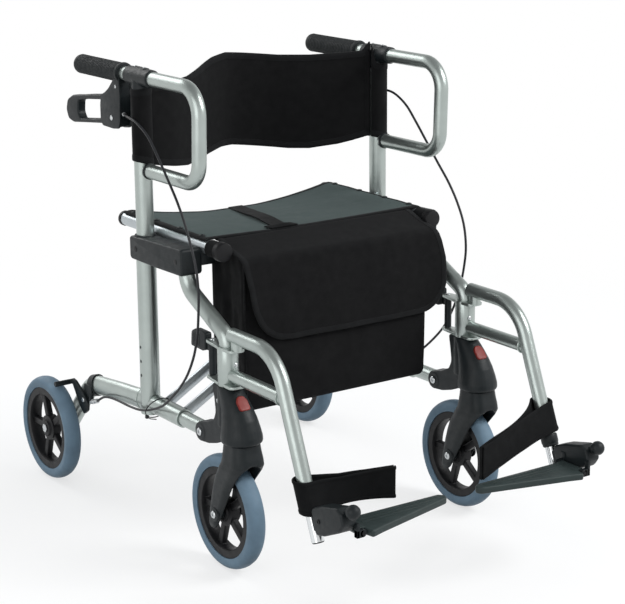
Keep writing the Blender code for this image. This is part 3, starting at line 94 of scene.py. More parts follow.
class Graph:
    """Builds a node tree; a node's inputs are plain values or other nodes' outputs."""

    def __init__(self, owner):
        owner.use_nodes = True
        self.tree = owner.node_tree

    def link(self, value, socket):
        if isinstance(value, bpy.types.NodeSocket):
            self.tree.links.new(value, socket)
        else:
            socket.default_value = value

    def node(self, kind, **inputs):
        made = self.tree.nodes.new("ShaderNode" + kind)
        for key, value in inputs.items():
            self.link(value, made.inputs[key.replace("_", " ")])
        return made

    def combine(self, operation, *values):
        made = self.node("Math")
        made.operation = operation
        for socket, value in zip(made.inputs, values):
            self.link(value, socket)
        return made.outputs[0]

    def spread(self, source, low, high, start=0.3, stop=0.7):
        return self.node("MapRange", Value=source, From_Min=start, From_Max=stop, To_Min=low,
                         To_Max=high).outputs["Result"]

    def mixed(self, share, first, second):
        mix = self.node("MixShader", Fac=share)
        self.link(first.outputs[0], mix.inputs[1])
        self.link(second.outputs[0], mix.inputs[2])
        return mix.outputs[0]

    def background_rays(self):
        """A value of 1 for rays seen directly or through glass, and one that adds mirrored rays."""
        path = self.node("LightPath").outputs
        seen = self.combine("MAXIMUM", path["Is Camera Ray"], path["Is Transmission Ray"])
        return seen, self.combine("MAXIMUM", seen, path["Is Glossy Ray"])


# Camera, light and floor

def add_camera():
    azimuth, elevation = VIEW_AZIMUTH, VIEW_ELEVATION
    back = Vector((math.sin(azimuth) * math.cos(elevation), -math.cos(azimuth) * math.cos(elevation),
                   math.sin(elevation)))
    level = Vector((math.cos(azimuth), math.sin(azimuth), 0))
    upward = back.cross(level)
    right = level * math.cos(VIEW_ROLL) + upward * math.sin(VIEW_ROLL)
    top = upward * math.cos(VIEW_ROLL) - level * math.sin(VIEW_ROLL)
    bpy.ops.object.camera_add(location=place(*VIEW_TARGET) + back * VIEW_DISTANCE)
    camera = bpy.context.object
    camera.name = "photo_camera"
    camera.rotation_euler = Matrix((right, top, back)).transposed().to_euler()
    camera.data.lens = VIEW_LENS
    camera.data.sensor_width = 36
    camera.data.clip_end = 50
    bpy.context.scene.camera = camera


def add_softbox(name, where, aim_z, size, watts):
    bpy.ops.object.light_add(type="AREA", location=place(*where))
    lamp = bpy.context.object
    lamp.name = name
    lamp.data.size = size
    lamp.data.energy = watts
    lamp.rotation_euler = (place(0, 0, aim_z) - place(*where)).to_track_quat("-Z", "Y").to_euler()


def add_studio():
    world = bpy.data.worlds.new("studio")
    bpy.context.scene.world = world
    graph = Graph(world)
    graph.tree.nodes.clear()
    height = graph.node("SeparateXYZ", Vector=graph.node("TexCoord").outputs["Generated"]).outputs["Z"]
    seen, mirrored = graph.background_rays()
    reflected = graph.combine("MAXIMUM", seen, graph.spread(height, 1.0, 0.3, 0.05, 0.85))
    soft = graph.node("Background", Color=(0.93, 0.97, 1.0, 1), Strength=0.62)
    white = graph.node("Background", Color=(1, 1, 1, 1), Strength=reflected)
    graph.node("OutputWorld", Surface=graph.mixed(mirrored, soft, white))

    bpy.ops.mesh.primitive_plane_add(size=80, location=(0, 0, -0.0006))
    floor = bpy.context.object
    floor.name = "studio_floor"
    material = bpy.data.materials.new("pale_floor")
    graph = Graph(material)
    graph.tree.nodes.clear()
    away = graph.node("VectorMath", Vector=graph.node("TexCoord").outputs["Object"])
    away.operation = "LENGTH"
    fade = graph.spread(away.outputs["Value"], 0.34, 0.0, 0.7, 2.2)
    fade.node.interpolation_type = "SMOOTHSTEP"
    glow = graph.node("Emission", Color=(1, 1, 1, 1), Strength=graph.background_rays()[1])
    paper = graph.node("BsdfDiffuse", Color=(0.97, 0.97, 0.97, 1))
    graph.node("OutputMaterial", Surface=graph.mixed(fade, glow, paper))
    floor.data.materials.append(material)

    add_softbox("key", (1.9, -2.2, 2.6), 0.45, 1.6, 78)
    add_softbox("fill", (-2.6, -1.2, 1.3), 0.4, 2.2, 22)
    add_softbox("rim", (-0.6, 2.6, 2.2), 0.5, 1.6, 26)


# Finishes

BINDING_WIDTH = 0.022


class Finish(Graph):
    """Builds one material from the piece's own coordinates."""

    def __init__(self, name, slot):
        self.material = bpy.data.materials.new(name)
        super().__init__(self.material)
        self.slot = slot
        self.shader = self.tree.nodes["Principled BSDF"]
        coordinates = self.node("TexCoord").outputs
        self.where, self.on_cloth = coordinates["Object"], coordinates["UV"]
        self.bump = None

    def noise(self, scale, detail=3.0):
        return self.node("TexNoise", Vector=self.where, Scale=scale, Detail=detail).outputs["Fac"]

    def bands(self, axis, pitch):
        wave = self.node("TexWave", Vector=self.on_cloth, Scale=0.314159 / pitch)
        wave.bands_direction = axis
        wave.wave_profile = "SIN"
        return wave.outputs["Fac"]

    def stitches(self, row, width, pitch):
        """Short stitches along the cloth at a distance from both long edges of a tape."""
        spot = self.node("SeparateXYZ", Vector=self.on_cloth).outputs["Y"]
        off = self.combine("SUBTRACT", self.combine("PINGPONG", spot, width / 2), row)
        line = self.spread(self.combine("ABSOLUTE", off), 1.0, 0.0, 0.0003, 0.0007)
        return self.combine("MULTIPLY", line, self.spread(self.bands("X", pitch), 0.0, 1.0, 0.25, 0.45))

    def colour(self, source, colour, spread, start=0.3, stop=0.7):
        """Two shades of a colour, each the given share off it, mixed by a source."""
        ramp = self.node("ValToRGB", Fac=source)
        for element, spot, shade in zip(ramp.color_ramp.elements, (start, stop), (-spread, spread)):
            element.position = spot
            element.color = (*(c * (1 + shade) for c in colour), 1)
        self.set(Base_Color=ramp.outputs["Color"])

    def rough(self, source, low, high):
        self.set(Roughness=self.spread(source, low, high))

    def relief(self, source, height):
        bump = self.node("Bump", Height=source, Distance=height, Strength=1.0)
        if self.bump is not None:
            self.link(self.bump, bump.inputs["Normal"])
        self.bump = bump.outputs["Normal"]
        self.set(Normal=self.bump)

    def set(self, **values):
        for key, value in values.items():
            self.link(value, self.shader.inputs[key.replace("_", " ")])


def metal(name, slot, colour, low, high, metallic=1.0, grain=0.0):
    finish = Finish(name, slot)
    finish.set(Metallic=metallic)
    finish.colour(finish.noise(38, 2), colour, 0.04)
    finish.rough(finish.noise(160, 4), low, high)
    if grain:
        finish.relief(finish.noise(1500, 2), grain)
    return finish


def plastic(name, slot, colour, low, high, grain=0.00012, coarse=900):
    finish = Finish(name, slot)
    finish.colour(finish.noise(30, 3), colour, 0.12)
    finish.rough(finish.noise(90, 4), low, high)
    finish.relief(finish.noise(coarse, 2), grain)
    finish.set(Specular_IOR_Level=0.29)
    return finish


def cloth(name, slot, colour, pitch, relief):
    finish = Finish(name, slot)
    weave = finish.combine("MULTIPLY", finish.bands("X", pitch), finish.bands("Y", pitch))
    tone = finish.combine("MULTIPLY_ADD", weave, 0.45)
    finish.colour(finish.combine("ADD", tone, finish.noise(14, 4)), colour, 0.22, 0.35, 1.25)
    finish.rough(finish.noise(60, 3), 0.78, 0.95)
    finish.relief(weave, relief)
    finish.relief(finish.noise(700, 3), relief * 0.6)
    finish.set(Sheen_Weight=0.05, Sheen_Roughness=0.5, Specular_IOR_Level=0.12)
    return finish


def make_finishes():
    made = {
        "tube": metal("champagne_anodised", "satin_aluminium", (0.415, 0.462, 0.442), 0.29, 0.37,
                      0.88, 0.00002),
        "bright": metal("polished_tube", "bright_aluminium", (0.47, 0.51, 0.53), 0.33, 0.39, 0.92),
        "chrome": metal("chrome_plate", "chrome", (0.72, 0.74, 0.75), 0.07, 0.12),
        "screw": metal("zinc_screw", "chrome", (0.55, 0.57, 0.58), 0.25, 0.35),
        "plastic": plastic("charcoal_moulding", "charcoal_plastic", (0.0085, 0.012, 0.0136), 0.4, 0.54),
        "rim": plastic("wheel_moulding", "charcoal_plastic", (0.005, 0.0052, 0.0062), 0.4, 0.54),
        "plate": plastic("footplate_moulding", "footplate_plastic", (0.03, 0.043, 0.042), 0.42, 0.56),
        "grip": plastic("soft_grip", "grip_rubber", (0.0095, 0.0125, 0.0135), 0.52, 0.68, 0.0002, 500),
        "tyre": plastic("grey_blue_tyre", "tyre_rubber", (0.148, 0.226, 0.298), 0.48, 0.64, 0.0001, 600),
        "sheath": plastic("cable_sheath", "cable_sheath", (0.016, 0.017, 0.02), 0.35, 0.45),
        "seat": cloth("grey_seat_weave", "seat_fabric", (0.044, 0.063, 0.061), 0.0016, 0.00012),
        "bag": cloth("black_canvas", "black_fabric", (0.005, 0.005, 0.0054), 0.0013, 0.0001),
        "binding": cloth("black_binding", "black_fabric", (0.0085, 0.0088, 0.0094), 0.0009, 0.0001),
        "webbing": cloth("black_webbing", "black_webbing", (0.0062, 0.0065, 0.0069), 0.002, 0.00015),
        "reflector": plastic("red_reflector", "charcoal_plastic", (0.22, 0.022, 0.016), 0.32, 0.44,
                             0.0001, 300),
    }
    made["tyre"].set(Specular_IOR_Level=0.3)
    made["rim"].set(Specular_IOR_Level=0.25)
    made["webbing"].set(Sheen_Weight=0.02, Specular_IOR_Level=0.1)
    made["binding"].relief(made["binding"].stitches(0.0022, BINDING_WIDTH, 0.0034), 0.0005)
    return made


# Lines and outlines

def flowing(points, steps=8):
    """Points of a smooth line through the given ones."""
    points = [Vector(p).to_3d() for p in points]
    line = []
    for i in range(len(points) - 1):
        before, after = points[max(i - 1, 0)], points[min(i + 2, len(points) - 1)]
        start, stop = points[i], points[i + 1]
        for k in range(steps):
            t = k / steps
            line.append(0.5 * (2 * start + (stop - before) * t
                               + (2 * before - 5 * start + 4 * stop - after) * t * t
                               + (3 * start - before - 3 * stop + after) * t ** 3))
    return line + [points[-1]]


def rounded(points, radius, closed=True, step=6.0):
    """Points of an outline with its corners turned into arcs."""
    points = [Vector(p).to_3d() for p in points]
    count = len(points)
    radii = list(radius) if isinstance(radius, (list, tuple)) else [radius] * count
    if not closed and len(radii) == count - 2:
        radii = [0, *radii, 0]
    result = []
    for i, corner in enumerate(points):
        if not closed and i in (0, count - 1):
            result.append(corner)
            continue
        back = (points[i - 1] - corner).normalized()
        ahead = (points[(i + 1) % count] - corner).normalized()
        turn = math.pi - back.angle(ahead)
        if turn < 0.01 or radii[i] <= 0:
            result.append(corner)
            continue
        reach = radii[i] * math.tan(turn / 2)
        centre = corner + (back + ahead).normalized() * (radii[i] / math.cos(turn / 2))
        first = corner + back * reach - centre
        axis = first.cross(corner + ahead * reach - centre).normalized()
        steps = max(2, round(math.degrees(turn) / step))
        result += [centre + Quaternion(axis, turn * k / steps) @ first for k in range(steps + 1)]
    return result


def bent(points, radii, step=4):
    """Points of an open path with its inner corners turned into arcs."""
    return rounded(points, radii, False, step)


def circle(centre, radius, steps=32):
    return [(centre[0] + radius * math.cos(2 * math.pi * k / steps),
             centre[1] + radius * math.sin(2 * math.pi * k / steps)) for k in range(steps)]


def mirrored(half):
    """Whole profile of a wheel's piece from the half on one side of its middle."""
    return [(radius, -reach) for radius, reach in half] + [(radius, reach) for radius, reach in half[::-1]]


# Modelling

def only(obj):
    bpy.ops.object.select_all(action="DESELECT")
    obj.select_set(True)
    bpy.context.view_layer.objects.active = obj
    return obj


def settle(obj, angle=38):
    """Apply what hangs on a piece, bring its place into its mesh and point its faces outwards."""
    only(obj)
    if obj.type != "MESH":
        bpy.ops.object.convert(target="MESH")
        obj = bpy.context.object
    for modifier in list(obj.modifiers):
        bpy.ops.object.modifier_apply(modifier=modifier.name)
    bpy.ops.object.transform_apply(location=True, rotation=True, scale=True)
    bpy.ops.object.mode_set(mode="EDIT")
    bpy.ops.mesh.select_all(action="SELECT")
    bpy.ops.mesh.remove_doubles(threshold=0.000004)
    bpy.ops.mesh.normals_make_consistent(inside=False)
    bpy.ops.object.mode_set(mode="OBJECT")
    bpy.ops.object.shade_smooth_by_angle(angle=math.radians(angle))
    return obj


def turned(profile, origin, direction, sides=48, fill="NGON"):
    """Round piece drawn up from a filled circle; the profile gives radius and height."""
    radius, height = profile[0]
    bpy.ops.mesh.primitive_circle_add(vertices=sides, radius=radius, fill_type=fill)
    obj = bpy.context.object
    bpy.ops.object.mode_set(mode="EDIT")
    bpy.ops.mesh.select_all(action="SELECT")
    bpy.ops.transform.translate(value=(0, 0, height))
    for next_radius, next_height in profile[1:]:
        bpy.ops.mesh.extrude_region_move(TRANSFORM_OT_translate={"value": (0, 0, next_height - height)})
        if next_radius != radius:
            change = next_radius / radius
            bpy.ops.transform.resize(value=(change, change, 1), center_override=(0, 0, next_height))
        radius, height = next_radius, next_height
    bpy.ops.object.mode_set(mode="OBJECT")
    obj.rotation_mode = "QUATERNION"
    obj.rotation_quaternion = Vector(UP).rotation_difference(Vector(direction))
    obj.location = Vector(origin)
    return settle(obj)


def hollow(profile, origin, direction, sides=48):
    """Ring drawn round a closed profile of radius and height from an open circle."""
    return turned([*profile, profile[0]], origin, direction, sides, "NOTHING")


def rod(radius, length, origin, direction, sides):
    return turned([(radius, 0), (radius, length)], origin, direction, sides)


def stacked(levels, corner, steps=6):
    """Solid drawn upwards from a rounded square; levels give height, centre and half sizes."""
    height, x, y, half_x, half_y = levels[0]
    bpy.ops.mesh.primitive_plane_add(size=2)
    obj = bpy.context.object
    bpy.ops.object.mode_set(mode="EDIT")
    bpy.ops.mesh.select_all(action="SELECT")
    bpy.ops.mesh.bevel(offset=corner, segments=steps, affect="VERTICES", clamp_overlap=True)
    bpy.ops.mesh.select_all(action="SELECT")
    bpy.ops.transform.resize(value=(half_x, half_y, 1))
    bpy.ops.transform.translate(value=(x, y, height))
    for level in levels[1:]:
        step = (level[1] - x, level[2] - y, level[0] - height)
        bpy.ops.mesh.extrude_region_move(TRANSFORM_OT_translate={"value": step})
        change = (level[3] / half_x, level[4] / half_y, 1)
        height, x, y, half_x, half_y = level
        bpy.ops.transform.resize(value=change, center_override=(x, y, height))
    bpy.ops.object.mode_set(mode="OBJECT")
    return settle(obj)


def drawn_curve(*rings, closed=False, flat=False):
    """Curve object of one straight-edged spline for each ring of points."""
    curve = bpy.data.curves.new("line", "CURVE")
    curve.dimensions = "2D" if flat else "3D"
    for ring in rings:
        spline = curve.splines.new("POLY")
        spline.points.add(len(ring) - 1)
        spline.use_cyclic_u = closed
        for point, spot in zip(spline.points, ring):
            x, y, z = Vector(spot).to_3d()
            point.co = (x, y, 0 if flat else z, 1)
    obj = bpy.data.objects.new("line", curve)
    bpy.context.collection.objects.link(obj)
    return obj


def pipe(path, radius, roundness=9, section=None):
    """Tube along a path, round or with a flattened section given as two half sizes."""
    obj = drawn_curve(path)
    obj.data.bevel_depth = radius
    obj.data.bevel_resolution = roundness
    obj.data.use_fill_caps = True
    guide = None
    if section:
        guide = drawn_curve([(section[0] * x, section[1] * y) for x, y in circle((0, 0), 1)],
                            closed=True, flat=True)
        obj.data.bevel_mode = "OBJECT"
        obj.data.bevel_object = guide
        obj.data.twist_mode = "Z_UP"
        bpy.context.view_layer.update()
    made = settle(obj)
    if guide:
        bpy.data.objects.remove(guide, do_unlink=True)
    return made


def plate(outline, thickness, where=(0, 0, 0), plane="YZ", holes=(), ease=0.0008, roundness=2):
    """Flat outline with thickness and eased edges, upright along Y or X, or level."""
    obj = drawn_curve(outline, *holes, closed=True, flat=True)
    obj.data.fill_mode = "BOTH"
    obj.data.extrude = thickness / 2 - ease
    obj.data.bevel_depth = ease
    obj.data.bevel_resolution = roundness
    obj.data.offset = -ease
    upright = math.pi / 2
    obj.rotation_euler = {"YZ": (upright, 0, upright), "XY": (0, 0, 0), "XZ": (upright, 0, 0)}[plane]
    obj.location = where
    bpy.context.view_layer.update()
    return settle(obj)


def block(low, high, ease=0.001, segments=2):
    """Box between two corners, given in either order, with eased edges."""
    low, high = [Vector([pick(pair) for pair in zip(low, high)]) for pick in (min, max)]
    bpy.ops.mesh.primitive_cube_add(size=1, location=(low + high) / 2, scale=high - low)
    obj = only(bpy.context.object)
    bpy.ops.object.transform_apply(location=True, rotation=True, scale=True)
    bevel = obj.modifiers.new("ease", "BEVEL")
    bevel.width = ease
    bevel.segments = segments
    return settle(obj)


def together(*pieces):
    """Join pieces of one finish into one object."""
    bpy.ops.object.select_all(action="DESELECT")
    for piece in pieces:
        piece.select_set(True)
    bpy.context.view_layer.objects.active = pieces[0]
    bpy.ops.object.join()
    return bpy.context.object


def without(obj, *others):
    """Cut other solids out of a piece and use them up."""
    for other in others:
        modifier = obj.modifiers.new("cut", "BOOLEAN")
        modifier.operation = "DIFFERENCE"
        modifier.solver = "EXACT"
        modifier.object = other
        only(obj)
        bpy.ops.object.modifier_apply(modifier=modifier.name)
        bpy.data.objects.remove(other, do_unlink=True)
    return obj


def moulded(obj, voxel, rounds):
    """Melt fused solids into one moulding with soft fillets between them."""
    remesh = obj.modifiers.new("skin", "REMESH")
    remesh.mode = "VOXEL"
    remesh.voxel_size = voxel
    smooth = obj.modifiers.new("fillets", "SMOOTH")
    smooth.factor = 0.5
    smooth.iterations = rounds
    obj = settle(obj, 180)
    bpy.ops.object.shade_smooth()
    return obj


def bolt_head(where, direction, radius=0.004, height=0.002, socket=True):
    """Low domed head, with a hexagon socket where the tool goes in."""
    head = turned([(radius, 0), (radius, height * 0.55), (radius * 0.86, height * 0.9),
                   (radius * 0.6, height)], where, direction, 24)
    if socket:
        start = Vector(where) + Vector(direction).normalized() * height * 0.45
        head = settle(without(head, rod(radius * 0.45, height * 2, start, direction, 6)), 30)
    return head


# Fitting a piece to the frame

BETWEEN_BRACES = "between braces"


def dress(obj, name, finish):
    obj.name = name
    obj.data.materials.clear()
    obj.data.materials.append(FINISHES[finish].material)
    return obj


def fit(name, pieces, body, finish, *nodes):
    """Join finished pieces, move them into the row frame, and say their body and the nodes they replace."""
    obj = only(together(*pieces) if isinstance(pieces, list) else pieces)
    obj.location.y += SHIFT
    bpy.ops.object.transform_apply(location=True, rotation=True, scale=True)
    dress(obj, name, finish)
    if body == BETWEEN_BRACES:
        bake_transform(obj)
    else:
        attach(obj, body)
    if nodes:
        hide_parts(*nodes)
    return obj


class Side:
    """One side of the frame: the start of its names, its outward way and where it stands."""

    def __init__(self, prefix, way):
        self.prefix, self.way = prefix, way
        self.x = way * FRAME_X
        self.out = (way, 0, 0)
        self.brace, self.rail_brace = ("brace_a", "brace_b") if way < 0 else ("brace_b", "brace_a")

    def fit(self, name, pieces, body, finish, *nodes):
        body = body if body.startswith("brace_") else self.prefix + body
        return fit(self.prefix + name, pieces, body, finish, *(self.prefix + node for node in nodes))


SIDES = (Side("right_", -1), Side("left_", 1))


# Brake cables

CABLE_ROUTE = ((0.258, 0.019, 0.74), (0.264, 0.002, 0.7405), (0.272, -0.023, 0.741), (0.275, -0.054, 0.737),
               (0.275, -0.09, 0.72), (0.275, -0.119, 0.694), (0.2755, -0.152, 0.66), (0.2765, -0.186, 0.624),
               (0.278, -0.211, 0.593), (0.279, -0.231, 0.56), (0.279, -0.247, 0.524), (0.279, -0.254, 0.485),
               (0.279, -0.253, 0.45), (0.279, -0.247, 0.405), (0.279, -0.231, 0.359), (0.279, -0.198, 0.311),
               (0.279, -0.139, 0.259), (0.279, -0.096, 0.236), (0.2785, -0.05, 0.221), (0.277, -0.005, 0.215),
               (0.2745, 0.06, 0.212), (0.2715, 0.105, 0.204), (0.2715, 0.1335, 0.1892))
CABLE_BULGE = {-1: 0.0, 1: 0.012}
CABLE_RADIUS = 0.0022


def brake_cable(side):
    route = []
    for out, depth, height in CABLE_ROUTE:
        lean = 0.0
        if 0.38 < height < 0.62:
            lean = CABLE_BULGE[side.way] * max(0.0, math.sin(math.pi * (height - 0.38) / 0.24))
        route.append(place(side.way * out, depth - lean, height))
    line = flowing(route, 5)
    cable = only(drawn_curve(line))
    cable.data.bevel_depth = CABLE_RADIUS
    cable.data.bevel_resolution = 3
    cable.data.use_fill_caps = True
    bpy.ops.object.convert(target="MESH")
    cable = dress(bpy.context.object, side.prefix + "cable_sheath", "sheath")
    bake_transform(cable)
    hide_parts(side.prefix + "brake_cable")
    tuple(line[0])
    sum((b - a).length for a, b in zip(line, line[1:]))
    [tuple(p) for p in line]


# Frame tubes

def post_tubes(side):
    foot = (side.x, POST_Y, 0)
    heights = [0.28 + 0.026 * k for k in range(3)]
    post = turned([(0.0163, 0.207), (0.0175, 0.2078), (0.0175, 0.528), (0.0165, 0.529)], foot, UP, 64)
    drills = [rod(0.003, 0.006, (side.x + side.way * 0.014, POST_Y, z), side.out, 20) for z in heights]
    side.fit("post_tube", settle(without(post, *drills)), "frame", "tube", "post")
    # Dark plastic discs sunk in the drilled holes are painted shade: they stand in for the shadow inside the
    # open holes.
    plugs = [turned([(0.0027, 0.0148), (0.0027, 0.0166), (0.002, 0.017)], (side.x, POST_Y, z), side.out, 20)
             for z in heights]
    side.fit("post_holes_painted_shade", plugs, "frame", "plastic")
    inner = turned([(0.0147, 0.318), (0.0157, 0.319), (0.0157, 0.7857)], foot, UP, 64)
    side.fit("post_inner", inner, "handle", "tube", "upper_post")
    collar = hollow([(0.0162, 0.5285), (0.019, 0.5285), (0.019, 0.534), (0.0182, 0.5352), (0.0162, 0.5352)],
                    foot, UP, 64)
    side.fit("post_collar", collar, "frame", "plastic")


def frame_tubes(side):
    x = side.x
    rail = pipe([(x, -0.214, RAIL_Z), (x, POST_Y - 0.01, RAIL_Z)], 0.0135, 14)
    side.fit("lower_rail_tube", rail, "frame", "tube", "lower_rail")
    route = ((-0.033, RAIL_Z), (0.069, 0.219), (0.189, 0.206), (0.296, 0.0926))
    stay = pipe(bent([(x, y, z) for y, z in route], [0.3, 0.09]), 0.0185, section=(0.0135, 0.0185))
    spacer = rod(0.01, REAR_WHEEL_X - HUB_HALF - FRAME_X, (x, AXLE_Y, WHEEL_Z), side.out, 32)
    boss = turned([(0.015, 0), (0.0165, 0.0015), (0.0165, 0.0205), (0.015, 0.022)],
                  (side.way * (FRAME_X - 0.011), AXLE_Y, WHEEL_Z), side.out, 40)
    side.fit("rear_stay_tube", [stay, spacer, boss], "frame", "tube", "rear_stay")
    cuff = pipe([(x, -0.006, 0.2256), (x, 0.0, 0.2251), (x, 0.006, 0.2246)], 0.02, section=(0.0143, 0.0193))
    side.fit("stay_cuff", cuff, "frame", "tube")
    leg = pipe(bent([(x, -0.17, 0.53), (x, -0.172, 0.47), (x, LEG_Y, 0.409), (x, LEG_Y, 0.262)],
                    [0.045, 0.026]), 0.014, 14)
    side.fit("front_leg_tube", leg, "frame", "tube", "front_leg")
    nut = turned([(0.008, 0), (0.0085, 0.0008), (0.0085, 0.0022), (0.006, 0.0029)],
                 (side.way * (REAR_WHEEL_X + HUB_HALF), AXLE_Y, WHEEL_Z), side.out, 6)
    side.fit("rear_axle_nut", nut, "frame", "screw")


ARM_FOOT_Z = 0.65


def handle_bars(side):
    x = side.x
    bar = pipe(bent([(x, POST_Y - 0.0155, ARM_FOOT_Z), (x, -0.22, ARM_FOOT_Z), (x, -0.226, HANDLE_Z),
                     (x, 0.18, HANDLE_Z)], [0.04, 0.046]), 0.0125, 14)
    side.fit("arm_bar", bar, "handle", "tube", "armrest")
    ring = hollow([(0.0127, 0), (0.0142, 0.0004), (0.0142, 0.0042), (0.0127, 0.0046)],
                  (x, POST_Y - 0.0212, ARM_FOOT_Z), FRONT)
    side.fit("arm_end_ring", ring, "handle", "plastic")
    rivet = bolt_head((x + side.way * 0.012, -0.06, HANDLE_Z), side.out, 0.0034, 0.0016, socket=False)
    side.fit("arm_rivet", rivet, "handle", "screw")


def seat_rails(side):
    middle = (side.way * SEAT_RAIL_X, 0, SEAT_RAIL_Z)
    rail = turned([(0.0125, -0.23), (0.0125, 0.094)], middle, BACK)
    side.fit("seat_rail_tube", rail, side.rail_brace, "bright", "seat_rail")
    cap = turned([(0.012, -0.245), (0.015, -0.2442), (0.0163, -0.242), (0.0165, -0.236), (0.0165, -0.2292),
                  (0.0152, -0.228)], middle, BACK)
    plug = turned([(0.0133, 0.0915), (0.0137, 0.0925), (0.0137, 0.0985), (0.0128, 0.0998), (0.008, 0.1)],
                  middle, BACK)
    side.fit("seat_rail_caps", [cap, plug], side.rail_brace, "rim")


BRACE_TUBES = {-1: (-0.075, -0.14), 1: (-0.097, -0.1185)}


def braces(side):
    legs = []
    for y in BRACE_TUBES[side.way]:
        low, middle = Vector((side.x, y, RAIL_Z)), Vector((0, y, BRACE_CROSS_Z))
        start = low + (middle - low).normalized() * 0.0155
        legs.append(pipe([start, middle, (-side.way * (SEAT_RAIL_X - 0.01), y, 0.531)], 0.0095, 12))
    sleeve = hollow([(0.0139, 0), (0.0162, 0), (0.0168, 0.0006), (0.0168, 0.0984), (0.0162, 0.099),
                     (0.0139, 0.099)], (side.x, -0.053, RAIL_Z), FRONT)
    side.fit("brace_sleeve", sleeve, side.brace, "tube")
    side.fit("brace_tubes", legs, side.brace, "bright", "brace")


def brace_pivot():
    head = bolt_head((0, -0.1508, BRACE_CROSS_Z), FRONT, 0.0078, 0.0052)
    washer = rod(0.01, 0.0012, (0, -0.1496, BRACE_CROSS_Z), FRONT, 32)
    shank = rod(0.004, 0.09, (0, -0.06, BRACE_CROSS_Z), FRONT, 24)
    nut = turned([(0.0074, 0), (0.0078, 0.0006), (0.0078, 0.0058), (0.006, 0.0066)],
                 (0, -0.0645, BRACE_CROSS_Z), BACK, 6)
    fit("brace_pivot_bolt", [head, washer, shank, nut], "brace_a", "screw", "brace_bolt")


# Wheels and casters

TYRE_HALF = [(0.08, 0.0138), (0.083, 0.0146), (0.088, 0.0157), (0.0915, 0.0156), (0.0948, 0.014),
             (0.0976, 0.0106), (0.0993, 0.0062), (0.1, 0.0018)]
BAND_HALF = [(0.0655, 0.0105), (0.0668, 0.0125), (0.079, 0.0125), (0.0797, 0.0118)]
HUB_PROFILE_HALF = [(0.012, 0.013), (0.015, 0.0126), (0.0165, 0.0095), (0.024, 0.008)]
SPOKES = 5
SPOKE_HALF = 0.0064
WINDOW_INNER, WINDOW_OUTER = 0.0235, 0.0655


def wheel(side, which, x, y):
    """Blue-grey tyre on a black five-spoke moulding."""
    centre = (x, y, WHEEL_Z)
    body = which + "_wheel"
    side.fit(which + "_tyre_ring", hollow(mirrored(TYRE_HALF), centre, ACROSS, 96), body, "tyre",
             which + "_tyre")
    turn = 2 * math.pi / SPOKES
    windows = []
    for k in range(SPOKES):
        ring = []
        for radius, ahead in ((WINDOW_OUTER, 1), (WINDOW_INNER, -1)):
            slack = math.asin(SPOKE_HALF / radius)
            spread = [k * turn + slack + (turn - 2 * slack) * j / 10 for j in range(11)][::ahead]
            ring += [(radius * math.cos(a), radius * math.sin(a)) for a in spread]
        windows.append(rounded(ring, 0.0012, step=30))
    web = plate(circle((0, 0), 0.076, 96), 0.012, centre, holes=windows, ease=0.0022, roundness=3)
    band = hollow(mirrored(BAND_HALF), centre, ACROSS, 96)
    hub = turned(mirrored(HUB_PROFILE_HALF), centre, ACROSS)
    side.fit(body + "_centre", [web, band, hub], body, "rim", which + "_rim")


FORK_LEVELS = ((0.069, -0.272, 0.02, 0.005), (0.072, -0.2745, 0.024, 0.01), (0.08, -0.2775, 0.0262, 0.015),
               (0.1, -0.284, 0.027, 0.0205), (0.13, -0.2965, 0.028, 0.026), (0.15, -0.305, 0.0288, 0.0285),
               (0.167, -0.314, 0.0295, 0.031), (0.19, -0.331, 0.0306, 0.0345),
               (0.201, -0.3385, 0.0302, 0.0342), (0.212, -0.339, 0.029, 0.0322),
               (0.224, -0.338, 0.0274, 0.0296), (0.2372, SWIVEL_Y, 0.0262, 0.0276))


def caster_fork(side):
    x = side.x
    blade = stacked([(z, x, *rest) for z, *rest in FORK_LEVELS], 0.62)
    axle = Vector((x, -AXLE_Y, WHEEL_Z))
    slot = turned([(0.1045, 0), (0.106, 0.0015), (0.106, 0.0365), (0.1045, 0.038)],
                  axle - Vector((0.019, 0, 0)), ACROSS, 96)
    arch = plate(rounded([(x - 0.019, 0.148), (x + 0.019, 0.148), (x + 0.019, 0.2035), (x - 0.019, 0.2035)],
                         [0.001, 0.001, 0.018, 0.018]), 0.084, (0, -0.379, 0), "XZ", ease=0.0004)
    blade = moulded(without(blade, slot, arch), 0.0011, 7)
    bosses = []
    for way in (-1, 1):
        bosses.append(rod(0.009, 0.007, axle + Vector((way * HUB_HALF, 0, 0)), (way, 0, 0), 32))
        bosses.append(turned([(0.0128, 0.0), (0.012, 0.0026), (0.0105, 0.003)],
                             axle + Vector((way * 0.0258, 0, 0)), (way, 0, 0), 32))
    stem = rod(0.008, 0.04, (x, SWIVEL_Y, 0.236), UP, 24)
    side.fit("fork_moulding", [blade, stem, *bosses], "caster", "plastic", "caster_fork")
    bolt_pair(side, "axle", axle, 0.0286, 0.0066, 0.0028, "caster")


def bolt_pair(side, name, middle, reach, radius, height, body):
    """Heads on both ends of a cross bolt: the bolt's outside, the nut's inside."""
    for way in (-1, 1):
        head = bolt_head(Vector(middle) + Vector((way * reach, 0, 0)), (way, 0, 0), radius, height)
        side.fit(name + ("_bolt" if way * side.way > 0 else "_nut"), head, body, "screw")


BELL_LEVELS = ((0.2382, SWIVEL_Y, 0.0335, 0.0335), (0.242, SWIVEL_Y, 0.0352, 0.0356),
               (0.25, SWIVEL_Y + 0.0005, 0.0348, 0.0356), (0.262, SWIVEL_Y + 0.002, 0.0322, 0.0338),
               (0.278, SWIVEL_Y + 0.006, 0.0288, 0.0318), (0.292, SWIVEL_Y + 0.012, 0.0256, 0.0292),
               (0.305, SWIVEL_Y + 0.02, 0.023, 0.0256), (0.315, SWIVEL_Y + 0.027, 0.0212, 0.0222),
               (0.3262, LEG_Y - 0.001, 0.0196, 0.02))
EAR_Y = -0.227


